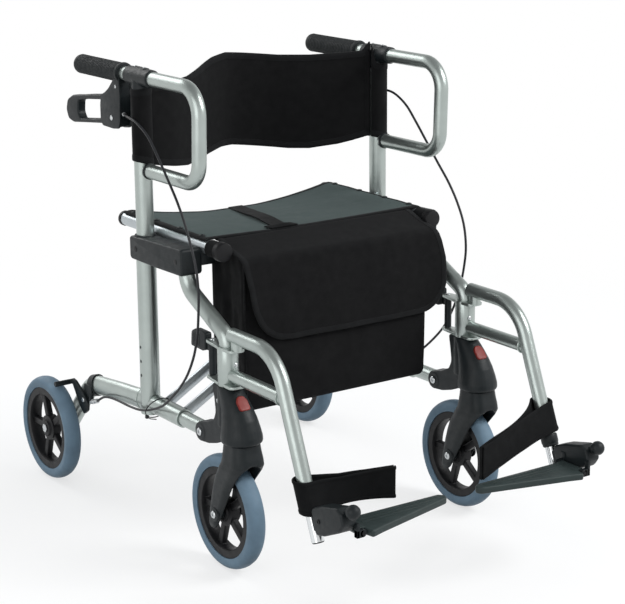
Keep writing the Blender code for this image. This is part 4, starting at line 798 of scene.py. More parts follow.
def caster_housing(side):
    x = side.x
    bell = stacked([(z, x, *rest) for z, *rest in BELL_LEVELS], 0.97, 8)
    socket = turned([(0.0186, 0.256), (0.0192, 0.258), (0.0192, 0.3255), (0.0186, 0.3262)],
                    (x, LEG_Y, 0), UP)
    fin = plate(rounded(
        [(-0.227, 0.245), (-0.247, 0.25), (-0.27, 0.261), (-0.2775, 0.276), (-0.2745, 0.297),
         (-0.269, 0.3262), (-0.312, 0.3262), (-0.335, 0.246), (-0.3095, 0.2395), (-0.3, 0.23),
         (-0.277, 0.2205), (-0.252, 0.2135), (-0.227, 0.211)],
        [0.001, 0.02, 0.014, 0.02, 0.03, 0.004, 0.004, 0, 0, 0.01, 0.03, 0.03, 0.001]),
        0.028, (x, 0, 0), ease=0.0012)
    ear = turned([(0.015, 0), (0.017, 0.002), (0.017, 0.028), (0.015, 0.03)],
                 (x - 0.015, EAR_Y, RAIL_Z), ACROSS)
    shell = moulded(together(bell, socket, fin, ear), 0.0011, 8)
    side.fit("housing_moulding", shell, "frame", "plastic", "caster_housing")
    lens = plate(rounded([(-0.0105, 0), (0.0105, 0), (0.0105, 0.018), (0.006, 0.0272), (-0.006, 0.0272),
                          (-0.0105, 0.018)], [0.005, 0.005, 0.008, 0.007, 0.007, 0.008]),
                 0.007, (0, 0, 0), "XZ", ease=0.0016, roundness=3)
    lens.data.transform(Matrix.Translation((x, -0.35, 0.294)) @ Matrix.Rotation(math.radians(-42), 4, "X"))
    side.fit("reflector", lens, "frame", "reflector")
    screw = bolt_head((x + side.way * 0.0136, -0.287, 0.2985), side.out, 0.004, 0.0018)
    side.fit("housing_screw", screw, "frame", "screw")
    bolt_pair(side, "ear", (x, EAR_Y, RAIL_Z), 0.0149, 0.0068, 0.003, "frame")


# Hanger and footrest

HANGER_TOP_Y, HANGER_TOP_Z = -0.444, 0.416
HANGER_PIN_Y = -0.25
STRUT_Z = 0.346


def hanger_point(x, z):
    """Point on the sloping tube at a height."""
    return Vector((x, HANGER_TOP_Y - (HANGER_TOP_Z - z) * HANGER_SLOPE, z))


def hanger(side):
    x = side.x
    sleeve = hollow([(0.0144, 0.3268), (0.0176, 0.3268), (0.018, 0.3274), (0.018, 0.3939), (0.0176, 0.3945),
                     (0.0144, 0.3945)], (x, LEG_Y, 0), UP, 64)
    tab = rounded([(x - 0.009, -0.2405), (x + 0.009, -0.2405), (x + 0.016, -0.2905), (x + 0.016, -0.333),
                   (x - 0.016, -0.333), (x - 0.016, -0.2905)], [0.0085, 0.0085, 0.02, 0.01, 0.01, 0.02])
    hole = circle((x, LEG_Y), 0.0143, 48)
    plates = [plate(tab, 0.005, (0, 0, z), "XY", holes=[hole], ease=0.001) for z in (0.39175, 0.32955)]
    arm = pipe(bent([(x, -0.3138, HANGER_TOP_Z), (x, HANGER_TOP_Y, HANGER_TOP_Z), hanger_point(x, 0.192)],
                    [0.08]), 0.0125, 14)
    root = pipe([(x, -0.327, 0.3925), (x, -0.327, 0.412)], 0.0098, 10)
    strut_end = hanger_point(x, STRUT_Z)
    strut = pipe([(x, LEG_Y - 0.0155, STRUT_Z), strut_end], 0.0115, 12)
    seam = hollow([(0.0112, 0), (0.0131, 0.0), (0.0138, 0.0016), (0.0131, 0.0034), (0.0112, 0.0034)],
                  strut_end + Vector((0, 0.0148, 0)), FRONT, 40)
    side.fit("hanger_tube", [sleeve, *plates, arm, strut, seam, root], "footrest_hanger", "tube", "hanger")
    pin = turned([(0.004, 0.3955), (0.0046, 0.394), (0.0046, 0.3915), (0.0025, 0.3912), (0.0025, 0.328),
                  (0.0046, 0.3278), (0.0046, 0.3262), (0.0036, 0.3256)], (x, HANGER_PIN_Y, 0), UP, 32)
    rivet = turned([(0.0042, 0), (0.004, 0.001), (0.0024, 0.0022)],
                   (x - side.way * 0.004, LEG_Y - 0.0172, 0.364), FRONT, 24)
    side.fit("hanger_pin", [pin, rivet], "footrest_hanger", "screw")


def latch(side):
    x = side.x
    tongue = plate(rounded([(-0.2382, 0.3735), (-0.2382, 0.403), (-0.204, 0.4035), (-0.193, 0.398),
                            (-0.1905, 0.3715), (-0.228, 0.37)], [0.003, 0.004, 0.006, 0.008, 0.004, 0.006]),
                   0.014, (x, 0, 0), ease=0.0022, roundness=3)
    barrel = turned([(0.0052, 0.3325), (0.0064, 0.3335), (0.0064, 0.3885)], (x, HANGER_PIN_Y, 0), UP, 32)
    arm = block((x - 0.0042, HANGER_PIN_Y, 0.3735), (x + 0.0042, -0.235, 0.3885), 0.0012)
    ribs = [block((x - 0.0076, -0.202 - 0.0045 * k, 0.376),
                  (x + 0.0076, -0.2002 - 0.0045 * k, 0.3975), 0.0006) for k in range(5)]
    side.fit("latch_tongue", [tongue, barrel, arm, *ribs], "latch", "plastic", "swing_latch")


PLATE_PIN_X, PLATE_PIN_Z = 0.229, 0.1715


def footrest(side):
    x, way = side.x, side.way
    down = (hanger_point(x, 0.1) - hanger_point(x, 0.2)).normalized()
    tube = pipe([hanger_point(x, 0.3), hanger_point(x, 0.133)], 0.0105, 12)
    side.fit("footrest_chrome", tube, "footrest", "chrome", "footrest_tube")
    plug = turned([(0.0098, 0), (0.0098, 0.0016), (0.008, 0.0026)], hanger_point(x, 0.1334), down, 32)
    side.fit("footrest_plug", plug, "footrest", "plastic")
    collar_at = hanger_point(x, 0.2035)
    collar = hollow([(0.0127, 0), (0.0141, 0.0006), (0.0148, 0.003), (0.0148, 0.014), (0.0139, 0.0166),
                     (0.0127, 0.0172)], collar_at, down)
    neck = hollow([(0.0107, 0), (0.0138, 0.0), (0.0138, 0.003), (0.0122, 0.005), (0.0107, 0.005)],
                  collar_at + down * 0.0168, down)
    side.fit("footrest_collar", [collar, neck], "footrest_hanger", "plastic")

    rise = math.radians(21.0)
    ahead = Vector((0, -math.cos(rise), math.sin(rise)))
    above = Vector((0, math.sin(rise), math.cos(rise)))
    rear = hanger_point(x, 0.163)

    def side_view(*spots):
        return [(rear + ahead * along + above * up).yz for along, up in spots]

    body = plate(rounded(side_view((0.019, -0.02), (0.02, 0.0235), (0.05, 0.024), (0.094, 0.018),
                                   (0.103, 0.008), (0.103, -0.01), (0.088, -0.0205), (0.04, -0.0235)),
                         [0.006, 0.008, 0.02, 0.008, 0.006, 0.008, 0.02, 0.02]),
                 0.0284, (x, 0, 0), ease=0.0046, roundness=5)
    yoke = plate(rounded(side_view((-0.003, -0.013), (-0.003, 0.013), (0.03, 0.017), (0.03, -0.016)), 0.004),
                 0.015, (x, 0, 0), ease=0.0015)
    knob = turned([(0.0056, -0.019), (0.0056, -0.0098), (0.0078, -0.0088), (0.0104, -0.0062),
                   (0.0119, -0.0022), (0.0119, 0.0022), (0.0103, 0.006), (0.0072, 0.0093), (0.003, 0.0112)],
                  rear + ahead * 0.1178 + above * 0.008, ahead, 40)
    half = 0.0065
    pin_x = way * PLATE_PIN_X
    inner_face = x - way * 0.014
    ears = []
    for low_y, high_y in ((-0.5902, -0.5805), (-0.649, -0.6403)):
        ears.append(turned([(half - 0.0006, 0), (half, 0.0006), (half, high_y - low_y - 0.0006),
                            (half - 0.0006, high_y - low_y)], (pin_x, low_y, PLATE_PIN_Z), BACK, 32))
        for start, height in ((pin_x, half - 0.0002), (inner_face - way * 0.0018, 0.018)):
            ears.append(block((start, low_y, 0.1652),
                              (inner_face + way * 0.003, high_y, PLATE_PIN_Z + height), 0.0006))
    side.fit("foot_clamp", [body, yoke, knob, *ears], "footrest", "plastic", "foot_block")
    pin = rod(0.003, 0.069, (pin_x, -0.65, PLATE_PIN_Z), BACK, 20)
    screw = bolt_head((x + way * 0.014, rear.y + ahead.y * 0.036, rear.z + 0.014), side.out, 0.004, 0.0018)
    side.fit("foot_clamp_fixings", [pin, screw], "footrest", "rim")


def footplate(side):
    """Flat tread with three long low ridges and a hinge barrel at its outer edge."""
    way = side.way
    outer = [(way * x, y) for x, y in ((0.222, -0.5905), (0.04, -0.592), (0.031, -0.602), (0.036, -0.612),
                                       (0.193, -0.652), (0.218, -0.66), (0.222, -0.64))]
    slab = plate(rounded(outer, [0.003, 0.01, 0.007, 0.01, 0.02, 0.004, 0.003]), 0.0118, (0, 0, 0.1709),
                 "XY", ease=0.003, roundness=4)
    ridges = []
    for k, inner in enumerate((0.048, 0.064, 0.098)):
        y = -0.601 - 0.0095 * k
        ridges.append(block((way * inner, y - 0.0013, 0.176), (way * 0.212, y + 0.0013, 0.1776), 0.0007))
    barrel = hollow([(0.0032, 0), (0.006, 0), (0.0065, 0.0006), (0.0065, 0.0483), (0.006, 0.0489),
                     (0.0032, 0.0489)], (way * PLATE_PIN_X, -0.5908, PLATE_PIN_Z), FRONT, 40)
    leaf = block((way * 0.219, -0.6395, 0.1658), (way * 0.226, -0.591, 0.1772), 0.0008)
    side.fit("footplate_tread", [slab, barrel, leaf, *ridges], "footplate", "plate", "footplate")


# Handle cluster

GRIP_RIBS, GRIP_RIB_PITCH = 28, 0.005


def grip(side):
    levels = [(0.015, 0.023), (0.0182, 0.0238), (0.0186, 0.026), (0.0184, 0.0283), (0.016, 0.0295)]
    y = 0.0295
    for _ in range(GRIP_RIBS):
        levels += [(0.0163, y + 0.0002), (0.0173, y + 0.0012), (0.0173, y + 0.0034), (0.0163, y + 0.0044)]
        y += GRIP_RIB_PITCH
    levels += [(0.0174, 0.173), (0.0175, 0.178), (0.0168, 0.1808), (0.0148, 0.1824), (0.011, 0.183)]
    side.fit("grip_rubber_sleeve", turned(levels, (side.x, 0, HANDLE_Z), BACK, 56), "handle", "grip", "grip")


def clamp(side):
    x = side.x
    barrel = turned([(0.014, -0.075), (0.0153, -0.0742), (0.0155, -0.07), (0.0155, 0.0), (0.0153, 0.0042),
                     (0.014, 0.005)], (x, 0, HANDLE_Z), BACK)
    neck = turned([(0.0157, 0.786), (0.0157, 0.805)], (x, POST_Y, 0), UP)
    lug = block((x - 0.007, -0.056, HANDLE_Z + 0.008), (x + 0.007, -0.01, HANDLE_Z + 0.0166), 0.003)
    side.fit("clamp_moulding", moulded(together(barrel, neck, lug), 0.001, 4), "handle", "plastic",
             "handle_clamp")
    screws = [bolt_head((x, y, HANDLE_Z + 0.0163), UP, 0.003, 0.0014) for y in (-0.018, -0.048)]
    side.fit("clamp_screws", screws, "handle", "screw")


def hung_plate(side, outline, radii, thickness, shift=0.0, windows=(), **finish):
    """Upright plate under the handle bar; its points give the distance along and below the bar."""
    rings = [rounded([(y, HANDLE_Z - drop) for y, drop in points], corners)
             for points, corners in ((outline, radii), *windows)]
    return plate(rings[0], thickness, (side.x + shift, 0, 0), holes=rings[1:], **finish)


def brake_handle(side):
    x = side.x
    cheeks = [hung_plate(side, [(0.023, 0.006), (0.038, 0.006), (0.048, 0.017), (0.062, 0.03),
                                (0.076, 0.0385), (0.09, 0.044), (0.0935, 0.062), (0.0935, 0.088),
                                (0.087, 0.0985), (0.048, 0.0995), (0.027, 0.097), (0.0225, 0.084),
                                (0.0205, 0.04)],
                         [0.003, 0.006, 0.03, 0.03, 0.03, 0.006, 0.02, 0.01, 0.008, 0.02, 0.008, 0.02, 0.03],
                         0.0038, way * 0.011, ease=0.0012, roundness=3) for way in (-1, 1)]
    core = hung_plate(side, [(0.024, 0.007), (0.037, 0.007), (0.047, 0.018), (0.061, 0.0308),
                             (0.072, 0.0365), (0.07, 0.04), (0.038, 0.042), (0.0375, 0.095),
                             (0.029, 0.0955), (0.024, 0.084), (0.022, 0.04)],
                      [0.003, 0.006, 0.03, 0.03, 0.002, 0.002, 0.006, 0.003, 0.006, 0.02, 0.03], 0.021)
    ring = hollow([(0.0127, 0.0215), (0.0146, 0.0215), (0.015, 0.0222), (0.015, 0.033), (0.0127, 0.033)],
                  (x, 0, HANDLE_Z), BACK, 56)
    side.fit("brake_moulding", [core, *cheeks, ring], "handle", "plastic", "brake_body")
    pivot_y, pivot_z = 0.052, HANDLE_Z - 0.081
    pivots = [turned([(0.0042, 0), (0.0044, 0.0008), (0.0034, 0.0016)],
                     (x + way * 0.0127, pivot_y, pivot_z), (way, 0, 0), 28) for way in (-1, 1)]
    pin = turned([(0.0034, -0.0128), (0.0034, 0.0128)], (x, pivot_y, pivot_z), ACROSS, 20)
    screw = bolt_head((x + side.way * 0.0127, 0.0345, HANDLE_Z - 0.024), side.out, 0.0028, 0.0012)
    adjuster = turned([(0.0046, 0), (0.0052, 0.0008), (0.0052, 0.007), (0.0044, 0.0078), (0.0034, 0.008),
                       (0.0034, 0.015), (0.0028, 0.0156)],
                      (x + side.way * 0.001, 0.032, 0.74), (side.way * 0.36, -0.93, 0.0), 10)
    side.fit("brake_fixings", [*pivots, pin, screw, adjuster], "handle", "screw")


def brake_lever(side):
    window = ([(0.098, 0.0545), (0.15, 0.06), (0.186, 0.066), (0.189, 0.088), (0.18, 0.0985),
               (0.112, 0.0905), (0.098, 0.087)], [0.006, 0.03, 0.008, 0.012, 0.008, 0.01, 0.006])
    loop = hung_plate(side, [(0.044, 0.09), (0.045, 0.07), (0.07, 0.052), (0.095, 0.045), (0.14, 0.05),
                             (0.182, 0.056), (0.208, 0.059), (0.229, 0.069), (0.235, 0.088),
                             (0.227, 0.105), (0.208, 0.109), (0.15, 0.1025), (0.1, 0.097), (0.062, 0.095)],
                      [0.006, 0.008, 0.02, 0.03, 0.05, 0.05, 0.02, 0.014, 0.014, 0.012, 0.02, 0.05, 0.03,
                       0.02], 0.017, windows=[window], ease=0.0034, roundness=5)
    side.fit("lever_loop", loop, "lever", "plastic", "brake_lever")


def bracket(side):
    """Moulded carrier that joins the post, the front leg and the seat rail."""
    shell = plate(rounded([(-0.011, 0.4905), (-0.011, 0.5315), (-0.06, 0.534), (-0.19, 0.5385),
                           (-0.19, 0.4915), (-0.1, 0.49)], [0.008, 0.006, 0.2, 0.006, 0.008, 0.2]),
                  0.042, (side.x, 0, 0), ease=0.0045, roundness=4)
    saddles = [block((side.way * 0.2045, y - 0.013, 0.506),
                     (side.way * (FRAME_X - 0.0175), y + 0.013, 0.5312), 0.0025, 3) for y in (-0.036, -0.176)]
    side.fit("bracket_moulding", [shell, *saddles], "frame", "plastic", "seat_bracket")
    plugs = [turned([(0.0052, 0), (0.005, 0.0006), (0.003, 0.0009)],
                    (side.x + side.way * 0.0208, y, z), side.out, 24)
             for y, z in ((POST_Y, 0.511), (-0.17, 0.514))]
    side.fit("bracket_plugs", plugs, "frame", "rim")


# Wheel brake

BRAKE_X = 0.2715
BRAKE_PIVOT = (0.186, 0.178)


def wheel_brake(side):
    x, way = side.x, side.way
    slope = math.radians(-16.6)
    along = Vector((0, math.cos(slope), math.sin(slope)))
    centre = Vector((x, 0.172, 0.2064))
    band = pipe([centre + along * d for d in (-0.01, -0.009, 0.009, 0.01)], 0.02, section=(0.0158, 0.0208))
    seat_block = block((way * 0.266, 0.164, 0.179), (way * 0.2688, 0.193, 0.208), 0.0012)
    foot = plate(rounded([(0.164, 0.206), (0.164, 0.19), (0.178, 0.171), (0.195, 0.171), (0.195, 0.186),
                          (0.181, 0.206)], 0.004), 0.0026, (way * 0.2674, 0, 0), ease=0.0006)
    start, stop = Vector((way * BRAKE_X, 0.134, 0.189)), Vector((way * BRAKE_X, 0.16, 0.18))
    holder = pipe([(x + way * 0.014, 0.168, 0.19), stop], 0.0042, 8)
    side.fit("brake_band", [band, seat_block, foot, holder], "frame", "plastic", "brake_mount")
    barrel = turned([(0.0036, 0), (0.0045, 0.0006), (0.0045, 0.009), (0.0036, 0.0096), (0.0036, 0.012),
                     (0.0048, 0.0126), (0.0048, 0.02), (0.0036, 0.0206), (0.0036, 0.027)],
                    start, (stop - start).normalized(), 24)
    pin = turned([(0.003, 0), (0.003, 0.0066), (0.0044, 0.0068), (0.0044, 0.0088), (0.0034, 0.0098)],
                 (way * 0.2668, *BRAKE_PIVOT), side.out, 24)
    side.fit("cable_barrel", [barrel, pin], "frame", "screw")
    blade = plate(rounded([(0.172, 0.16), (0.188, 0.149), (0.205, 0.164), (0.23, 0.1985), (0.248, 0.1935),
                           (0.252, 0.201), (0.229, 0.2095), (0.218, 0.2075), (0.187, 0.19), (0.17, 0.174)],
                          [0.006, 0.006, 0.02, 0.003, 0.003, 0.003, 0.006, 0.008, 0.02, 0.006]),
                  0.0048, (way * BRAKE_X, 0, 0), holes=[circle(BRAKE_PIVOT, 0.0033, 20)])
    shoe = turned([(0.0048, 0), (0.005, 0.0006), (0.005, 0.031), (0.0044, 0.0318)],
                  (way * 0.2712, 0.2455, 0.1985), side.out, 28)
    side.fit("brake_blade", [blade, shoe], "wheel_brake", "plastic", "brake_arm")


def cable_tie(side):
    """Tie that holds the brake cable to the foot of the post, with its cut tail."""
    way = side.way
    ring = []
    for k in range(33):
        turn = 2 * math.pi * k / 32
        ring.append((way * (0.258 + 0.025 * math.cos(turn)), -0.07 - 0.012 * math.sin(turn),
                     0.227 + 0.0205 * math.sin(turn)))
    strap = pipe(ring, 0.001, 4)
    head = block((way * 0.2745, -0.066, 0.209), (way * 0.28, -0.06, 0.215), 0.0008)
    tail = pipe([(way * 0.278, -0.063, 0.211), (way * 0.279, -0.08, 0.213), (way * 0.2785, -0.098, 0.217)],
                0.0009, 4)
    side.fit("cable_tie", [strap, head, tail], "frame", "sheath")


# Cloth

def panel(columns, rows, cut, shape, thickness):
    """Sheet of cloth: cut gives a spot on the flat cloth, shape its place on the object."""
    bpy.ops.mesh.primitive_grid_add(x_subdivisions=columns, y_subdivisions=rows, size=2)
    obj = bpy.context.object
    flat = [cut((v.co.x + 1) / 2, (v.co.y + 1) / 2) for v in obj.data.vertices]
    layer = obj.data.uv_layers.active.data
    for loop in obj.data.loops:
        layer[loop.index].uv = flat[loop.vertex_index]
    for vertex, spot in zip(obj.data.vertices, flat):
        vertex.co = shape(*spot)
    if thickness:
        wall = obj.modifiers.new("cloth", "SOLIDIFY")
        wall.thickness = thickness
        wall.offset = 0
    return settle(obj, 60)


def bound_edge(edge, shape, half, reach=BINDING_WIDTH / 2):
    """Tape folded over an edge of a sheet, which lies to the left of the edge's direction."""
    spots = [Vector(p).to_2d() for p in edge]
    steps = len(spots) - 1
    fold = ((reach, half * 0.3), (reach - 0.0002, half + 0.0006), (reach * 0.55, half + 0.001),
            (0.0006, half + 0.0007), (-0.0007, half * 0.5), (-0.0007, -half * 0.5),
            (0.0006, -half - 0.0007), (reach * 0.55, -half - 0.001), (reach - 0.0002, -half - 0.0006),
            (reach, -half * 0.3), (reach, half * 0.3))
    lengths = [0.0]
    for a, b in zip(spots, spots[1:]):
        lengths.append(lengths[-1] + (b - a).length)
    looped = (spots[0] - spots[-1]).length < 0.0001

    def cut(u, v):
        return (lengths[round(u * steps)], v * 2 * reach)

    def wrapped(along, across):
        i = min(range(len(lengths)), key=lambda k: abs(lengths[k] - along))
        before = spots[i - 1] if i else spots[-2 if looped else 0]
        after = spots[i + 1] if i < steps else spots[1 if looped else -1]
        run = (after - before).normalized()
        inset, lift = fold[round(across / (2 * reach) * (len(fold) - 1))]
        s, t = spots[i] + Vector((-run.y, run.x)) * inset
        normal = (shape(s + 0.0004, t) - shape(s - 0.0004, t)).cross(
            shape(s, t + 0.0004) - shape(s, t - 0.0004)).normalized()
        return shape(s, t) + normal * lift

    return panel(steps, len(fold) - 1, cut, wrapped, 0)


def both_edges(columns, cut, shape, *size):
    """Tapes along the lower and the upper edge of a sheet."""
    return [bound_edge([cut(k / columns, v) for k in range(columns + 1)][::order], shape, *size)
            for v, order in ((0, 1), (1, -1))]


def clipped(value):
    return max(0.0, min(1.0, value))


def between(value, table):
    """Value read off a short list of pairs, on the straight line between two of them."""
    for (low, first), (high, last) in zip(table, table[1:]):
        if value <= high:
            return first + (last - first) * clipped((value - low) / (high - low))
    return table[-1][1]


def path_reader(line):
    """Place on a line at a distance from its start, and its whole length."""
    line = [Vector(p).to_3d() for p in line]
    marks = [0.0]
    for a, b in zip(line, line[1:]):
        marks.append(marks[-1] + (b - a).length)

    def read(distance):
        distance = min(max(distance, 0.0), marks[-1])
        i = max(0, min(bisect.bisect_right(marks, distance) - 1, len(line) - 2))
        return line[i].lerp(line[i + 1], (distance - marks[i]) / (marks[i + 1] - marks[i]))

    return read, marks[-1]


def ripple(x, y, z, size, amount):
    """Gentle unevenness of cloth, the same in every run."""
    return noise.noise(Vector((x, y, z)) / size) * amount


# Seat

SEAT_TOP = 0.5513
SEAT_FRONT, SEAT_REAR = -0.195, 0.085
SEAT_HALF = 0.228
SEAT_SCREWS = (0.062, -0.018, -0.098, -0.172)
RAIL_TURN = 0.0142
PULL_WIDTH = 0.03
PULL_LOOP = (0.054, 0.024)


def seat_shape(s, t):
    share = (t - SEAT_FRONT) / (SEAT_REAR - SEAT_FRONT)
    hang = max(0.0, 1 - (s / 0.212) ** 2)
    z = SEAT_TOP - (0.0015 + 0.0215 * share) * hang
    over = abs(s) - SEAT_RAIL_X
    if over > 0:
        z -= RAIL_TURN - math.sqrt(max(0.0, RAIL_TURN ** 2 - over ** 2))
    pull = min(abs(t - y) for y in SEAT_SCREWS)
    z += 0.0007 * min(1.0, pull / 0.04) * max(0.0, (abs(s) - 0.1) / 0.12)
    return Vector((s, t, z + ripple(s, t, 0, 0.055, 0.0012) * hang))


def seat():
    def cut(u, v):
        return (SEAT_HALF * (2 * u - 1), SEAT_FRONT + (SEAT_REAR - SEAT_FRONT) * v)

    sheet = fit("seat_cloth", panel(96, 60, cut, seat_shape, 0.0026), BETWEEN_BRACES, "seat", "seat")
    border = [cut(k / 60, 0) for k in range(60)] + [cut(1, k / 40) for k in range(40)]
    border += [cut(1 - k / 60, 1) for k in range(60)] + [cut(0, 1 - k / 40) for k in range(41)]
    tape = fit("seat_binding", bound_edge(border, seat_shape, 0.0013, 0.0085), BETWEEN_BRACES, "binding")

    def strap_cut(u, v):
        return (u * PULL_WIDTH, v * 0.3)

    def strap_shape(s, t):
        share = min(t / 0.283, 1.0)
        x = 0.008 - 0.078 * share + (s - PULL_WIDTH / 2)
        y = SEAT_REAR + 0.0012 - t
        lift = 0.0024 + 0.003 * math.sin(math.pi * share) ** 2
        if y < SEAT_FRONT:
            return Vector((x, SEAT_FRONT - 0.0012, seat_shape(x, SEAT_FRONT).z + lift + (y - SEAT_FRONT)))
        return seat_shape(x, y) + Vector((0, 0, lift))

    def loop_cut(u, v):
        return (u * PULL_LOOP[0], v * PULL_LOOP[1])

    def loop_shape(s, t):
        puff = math.sin(math.pi * s / PULL_LOOP[0]) * math.sin(math.pi * min(1.0, t / PULL_LOOP[1]))
        return seat_shape(-0.094 + s, -0.1955 + t) + Vector((0, 0, 0.0042 + 0.0035 * puff))

    strap = fit("seat_pull_strap", [panel(6, 60, strap_cut, strap_shape, 0.0016),
                                    panel(20, 8, loop_cut, loop_shape, 0.0022)], BETWEEN_BRACES, "webbing")
    for side in SIDES:
        heads = [bolt_head((side.way * SEAT_RAIL_X, y, SEAT_TOP + 0.0012), UP, 0.0056, 0.0026)
                 for y in SEAT_SCREWS]
        side.fit("seat_screws", heads, side.rail_brace, "plastic")


# Backrest

SLEEVE_RADIUS = 0.017
SLEEVE_LAP = 0.004
BAND_PLAN = ((-0.234, -0.0312), (-0.18, -0.017), (-0.12, 0.017), (-0.06, 0.057), (0.0, 0.082),
             (0.06, 0.071), (0.12, 0.038), (0.18, 0.003), (0.234, -0.0312))
BAND_TOP = ((-0.27, 0.79), (-0.236, 0.793), (-0.2, 0.794), (-0.136, 0.797), (-0.095, 0.806),
            (-0.05, 0.818), (-0.011, 0.822), (0.03, 0.818), (0.088, 0.812), (0.14, 0.811),
            (0.192, 0.814), (0.222, 0.817), (0.2345, 0.834), (0.24, 0.7945), (0.27, 0.793))
BAND_FOOT = ((-0.27, 0.667), (-0.222, 0.654), (-0.18, 0.646), (-0.14, 0.64), (-0.083, 0.644),
             (-0.028, 0.651), (0.0, 0.651), (0.048, 0.645), (0.104, 0.638), (0.138, 0.637),
             (0.184, 0.644), (0.208, 0.651), (0.231, 0.659), (0.27, 0.651))


def backrest():
    ring = []
    for k in range(35):
        angle = math.radians(-12 - 336 * k / 34)
        ring.append((-FRAME_X + SLEEVE_RADIUS * math.cos(angle), POST_Y + SLEEVE_RADIUS * math.sin(angle), 0))
    far = [(-x, y, 0) for x, y, z in reversed(ring)]
    read, length = path_reader(ring + flowing(BAND_PLAN) + far)
    wrap = path_reader(ring)[1]

    def shape(s, t):
        spot = read(s)
        loose = clipped((0.225 - abs(spot.x)) / 0.05)
        return Vector((spot.x, spot.y + ripple(s, t, 7, 0.1, 0.0028) * loose, t))

    def edges_at(s):
        x = read(s).x
        return between(x, BAND_FOOT), between(x, BAND_TOP)

    def strip(start, stop):
        def cut(u, v):
            s = start + (stop - start) * u
            low, high = edges_at(s)
            return (s, low + (high - low) * v)
        return cut

    def seam_at(middle):
        low, high = edges_at(middle)

        def cut(u, v):
            return (middle + 0.01 * (u - 0.5), low + (high - low) * (0.05 + 0.9 * v))

        return panel(4, 40, cut, lambda s, t: shape(s, t) + Vector((0, -0.0024, 0)), 0.0012)

    made = []
    for name, start, stop in (("right_backrest_sleeve", 0, wrap + SLEEVE_LAP),
                              ("backrest_band", wrap, length - wrap),
                              ("left_backrest_sleeve", length - wrap - SLEEVE_LAP, length)):
        band = name == "backrest_band"
        side = "left" if name.startswith("left") else "right"
        columns, thickness, half, tall = (220, 0.0034, 0.0017, 0.19) if band else (44, 0.0022, 0.0011, 0.16)
        cut = strip(start, stop)
        piece = fit(name, panel(columns, 36, cut, shape, thickness), side + "_handle", "bag",
                    *(["backrest"] if band else []))
        tape = fit(name + "_binding", both_edges(columns, cut, shape, half), side + "_handle", "binding")
        made.append((piece, tape, start, stop, tall, side + "_post_inner"))
    seams = [seam_at(wrap + 0.006), seam_at(length - wrap - 0.006)]
    seam = fit("backrest_seams", seams, "right_handle", "bag")
    for piece, tape, start, stop, tall, post in made:
        steps = [start + (stop - start) * (k + 0.5) / 200 for k in range(200)]
        area = sum(edges_at(s)[1] - edges_at(s)[0] for s in steps) * (stop - start) / 200
    for piece in (*made[1][:2], seam):
        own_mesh(piece)


# Bag

BAG_LEVELS = [(0.257, -0.0015, -0.211, 0.183, 0.044), (0.2585, -0.0015, -0.211, 0.189, 0.048),
              (0.264, -0.0015, -0.211, 0.1915, 0.05), (0.3, -0.002, -0.211, 0.193, 0.051),
              (0.37, -0.0025, -0.2115, 0.194, 0.0515), (0.44, -0.0025, -0.211, 0.1945, 0.05),
              (0.5, -0.002, -0.21, 0.1945, 0.048), (0.53, -0.002, -0.209, 0.1935, 0.0465),
              (0.536, -0.002, -0.209, 0.1915, 0.045)]


def bag_body():
    shell = moulded(stacked(BAG_LEVELS, 0.045, 4), 0.0042, 2)
    for vertex in shell.data.vertices:
        x, y, z = vertex.co
        vertex.co.z = min(z, 0.5435 - 0.3776 * max(0.0, -0.1985 - y))
        middle = max(0.0, 1 - (x / 0.192) ** 2)
        if y < -0.235:
            low = clipped((0.4 - z) / 0.12)
            vertex.co.y += ripple(x, 0, z, 0.075, 0.0045) * middle - 0.002 * middle * low
        elif y > -0.185:
            vertex.co.y += ripple(x, 2, z, 0.075, 0.003) * middle
        if abs(x) > 0.17:
            fold = math.sin(math.pi * clipped((y + 0.262) / 0.102))
            vertex.co.x -= math.copysign(0.0075 * fold * clipped((0.53 - z) / 0.05), x)
            vertex.co.x += ripple(0, y * 3, z, 0.06, 0.004) * fold
        if z < 0.3:
            vertex.co.z += ripple(x, y, 0, 0.09, 0.0028) * (0.3 - z) / 0.045
    layer = shell.data.uv_layers.new(name="cloth")
    for polygon in shell.data.polygons:
        flat_on_x = abs(polygon.normal.x) > 0.7
        flat_on_z = abs(polygon.normal.z) > 0.7
        for loop in polygon.loop_indices:
            x, y, z = shell.data.vertices[shell.data.loops[loop].vertex_index].co
            layer.data[loop].uv = (y, z) if flat_on_x else (x, y) if flat_on_z else (x, z)
    return shell


FLAP_NEAR = ((0.0, -0.204), (0.045, -0.203), (0.075, -0.1995), (0.1, -0.195), (0.13, -0.19), (0.18, -0.185),
             (0.3, -0.182))
FLAP_FAR = ((0.0, 0.203), (0.045, 0.205), (0.075, 0.212), (0.1, 0.221), (0.13, 0.227), (0.18, 0.228),
            (0.3, 0.226))
FLAP_RADII = (0.08, 0.058)
PIPING_REACH = 0.1905


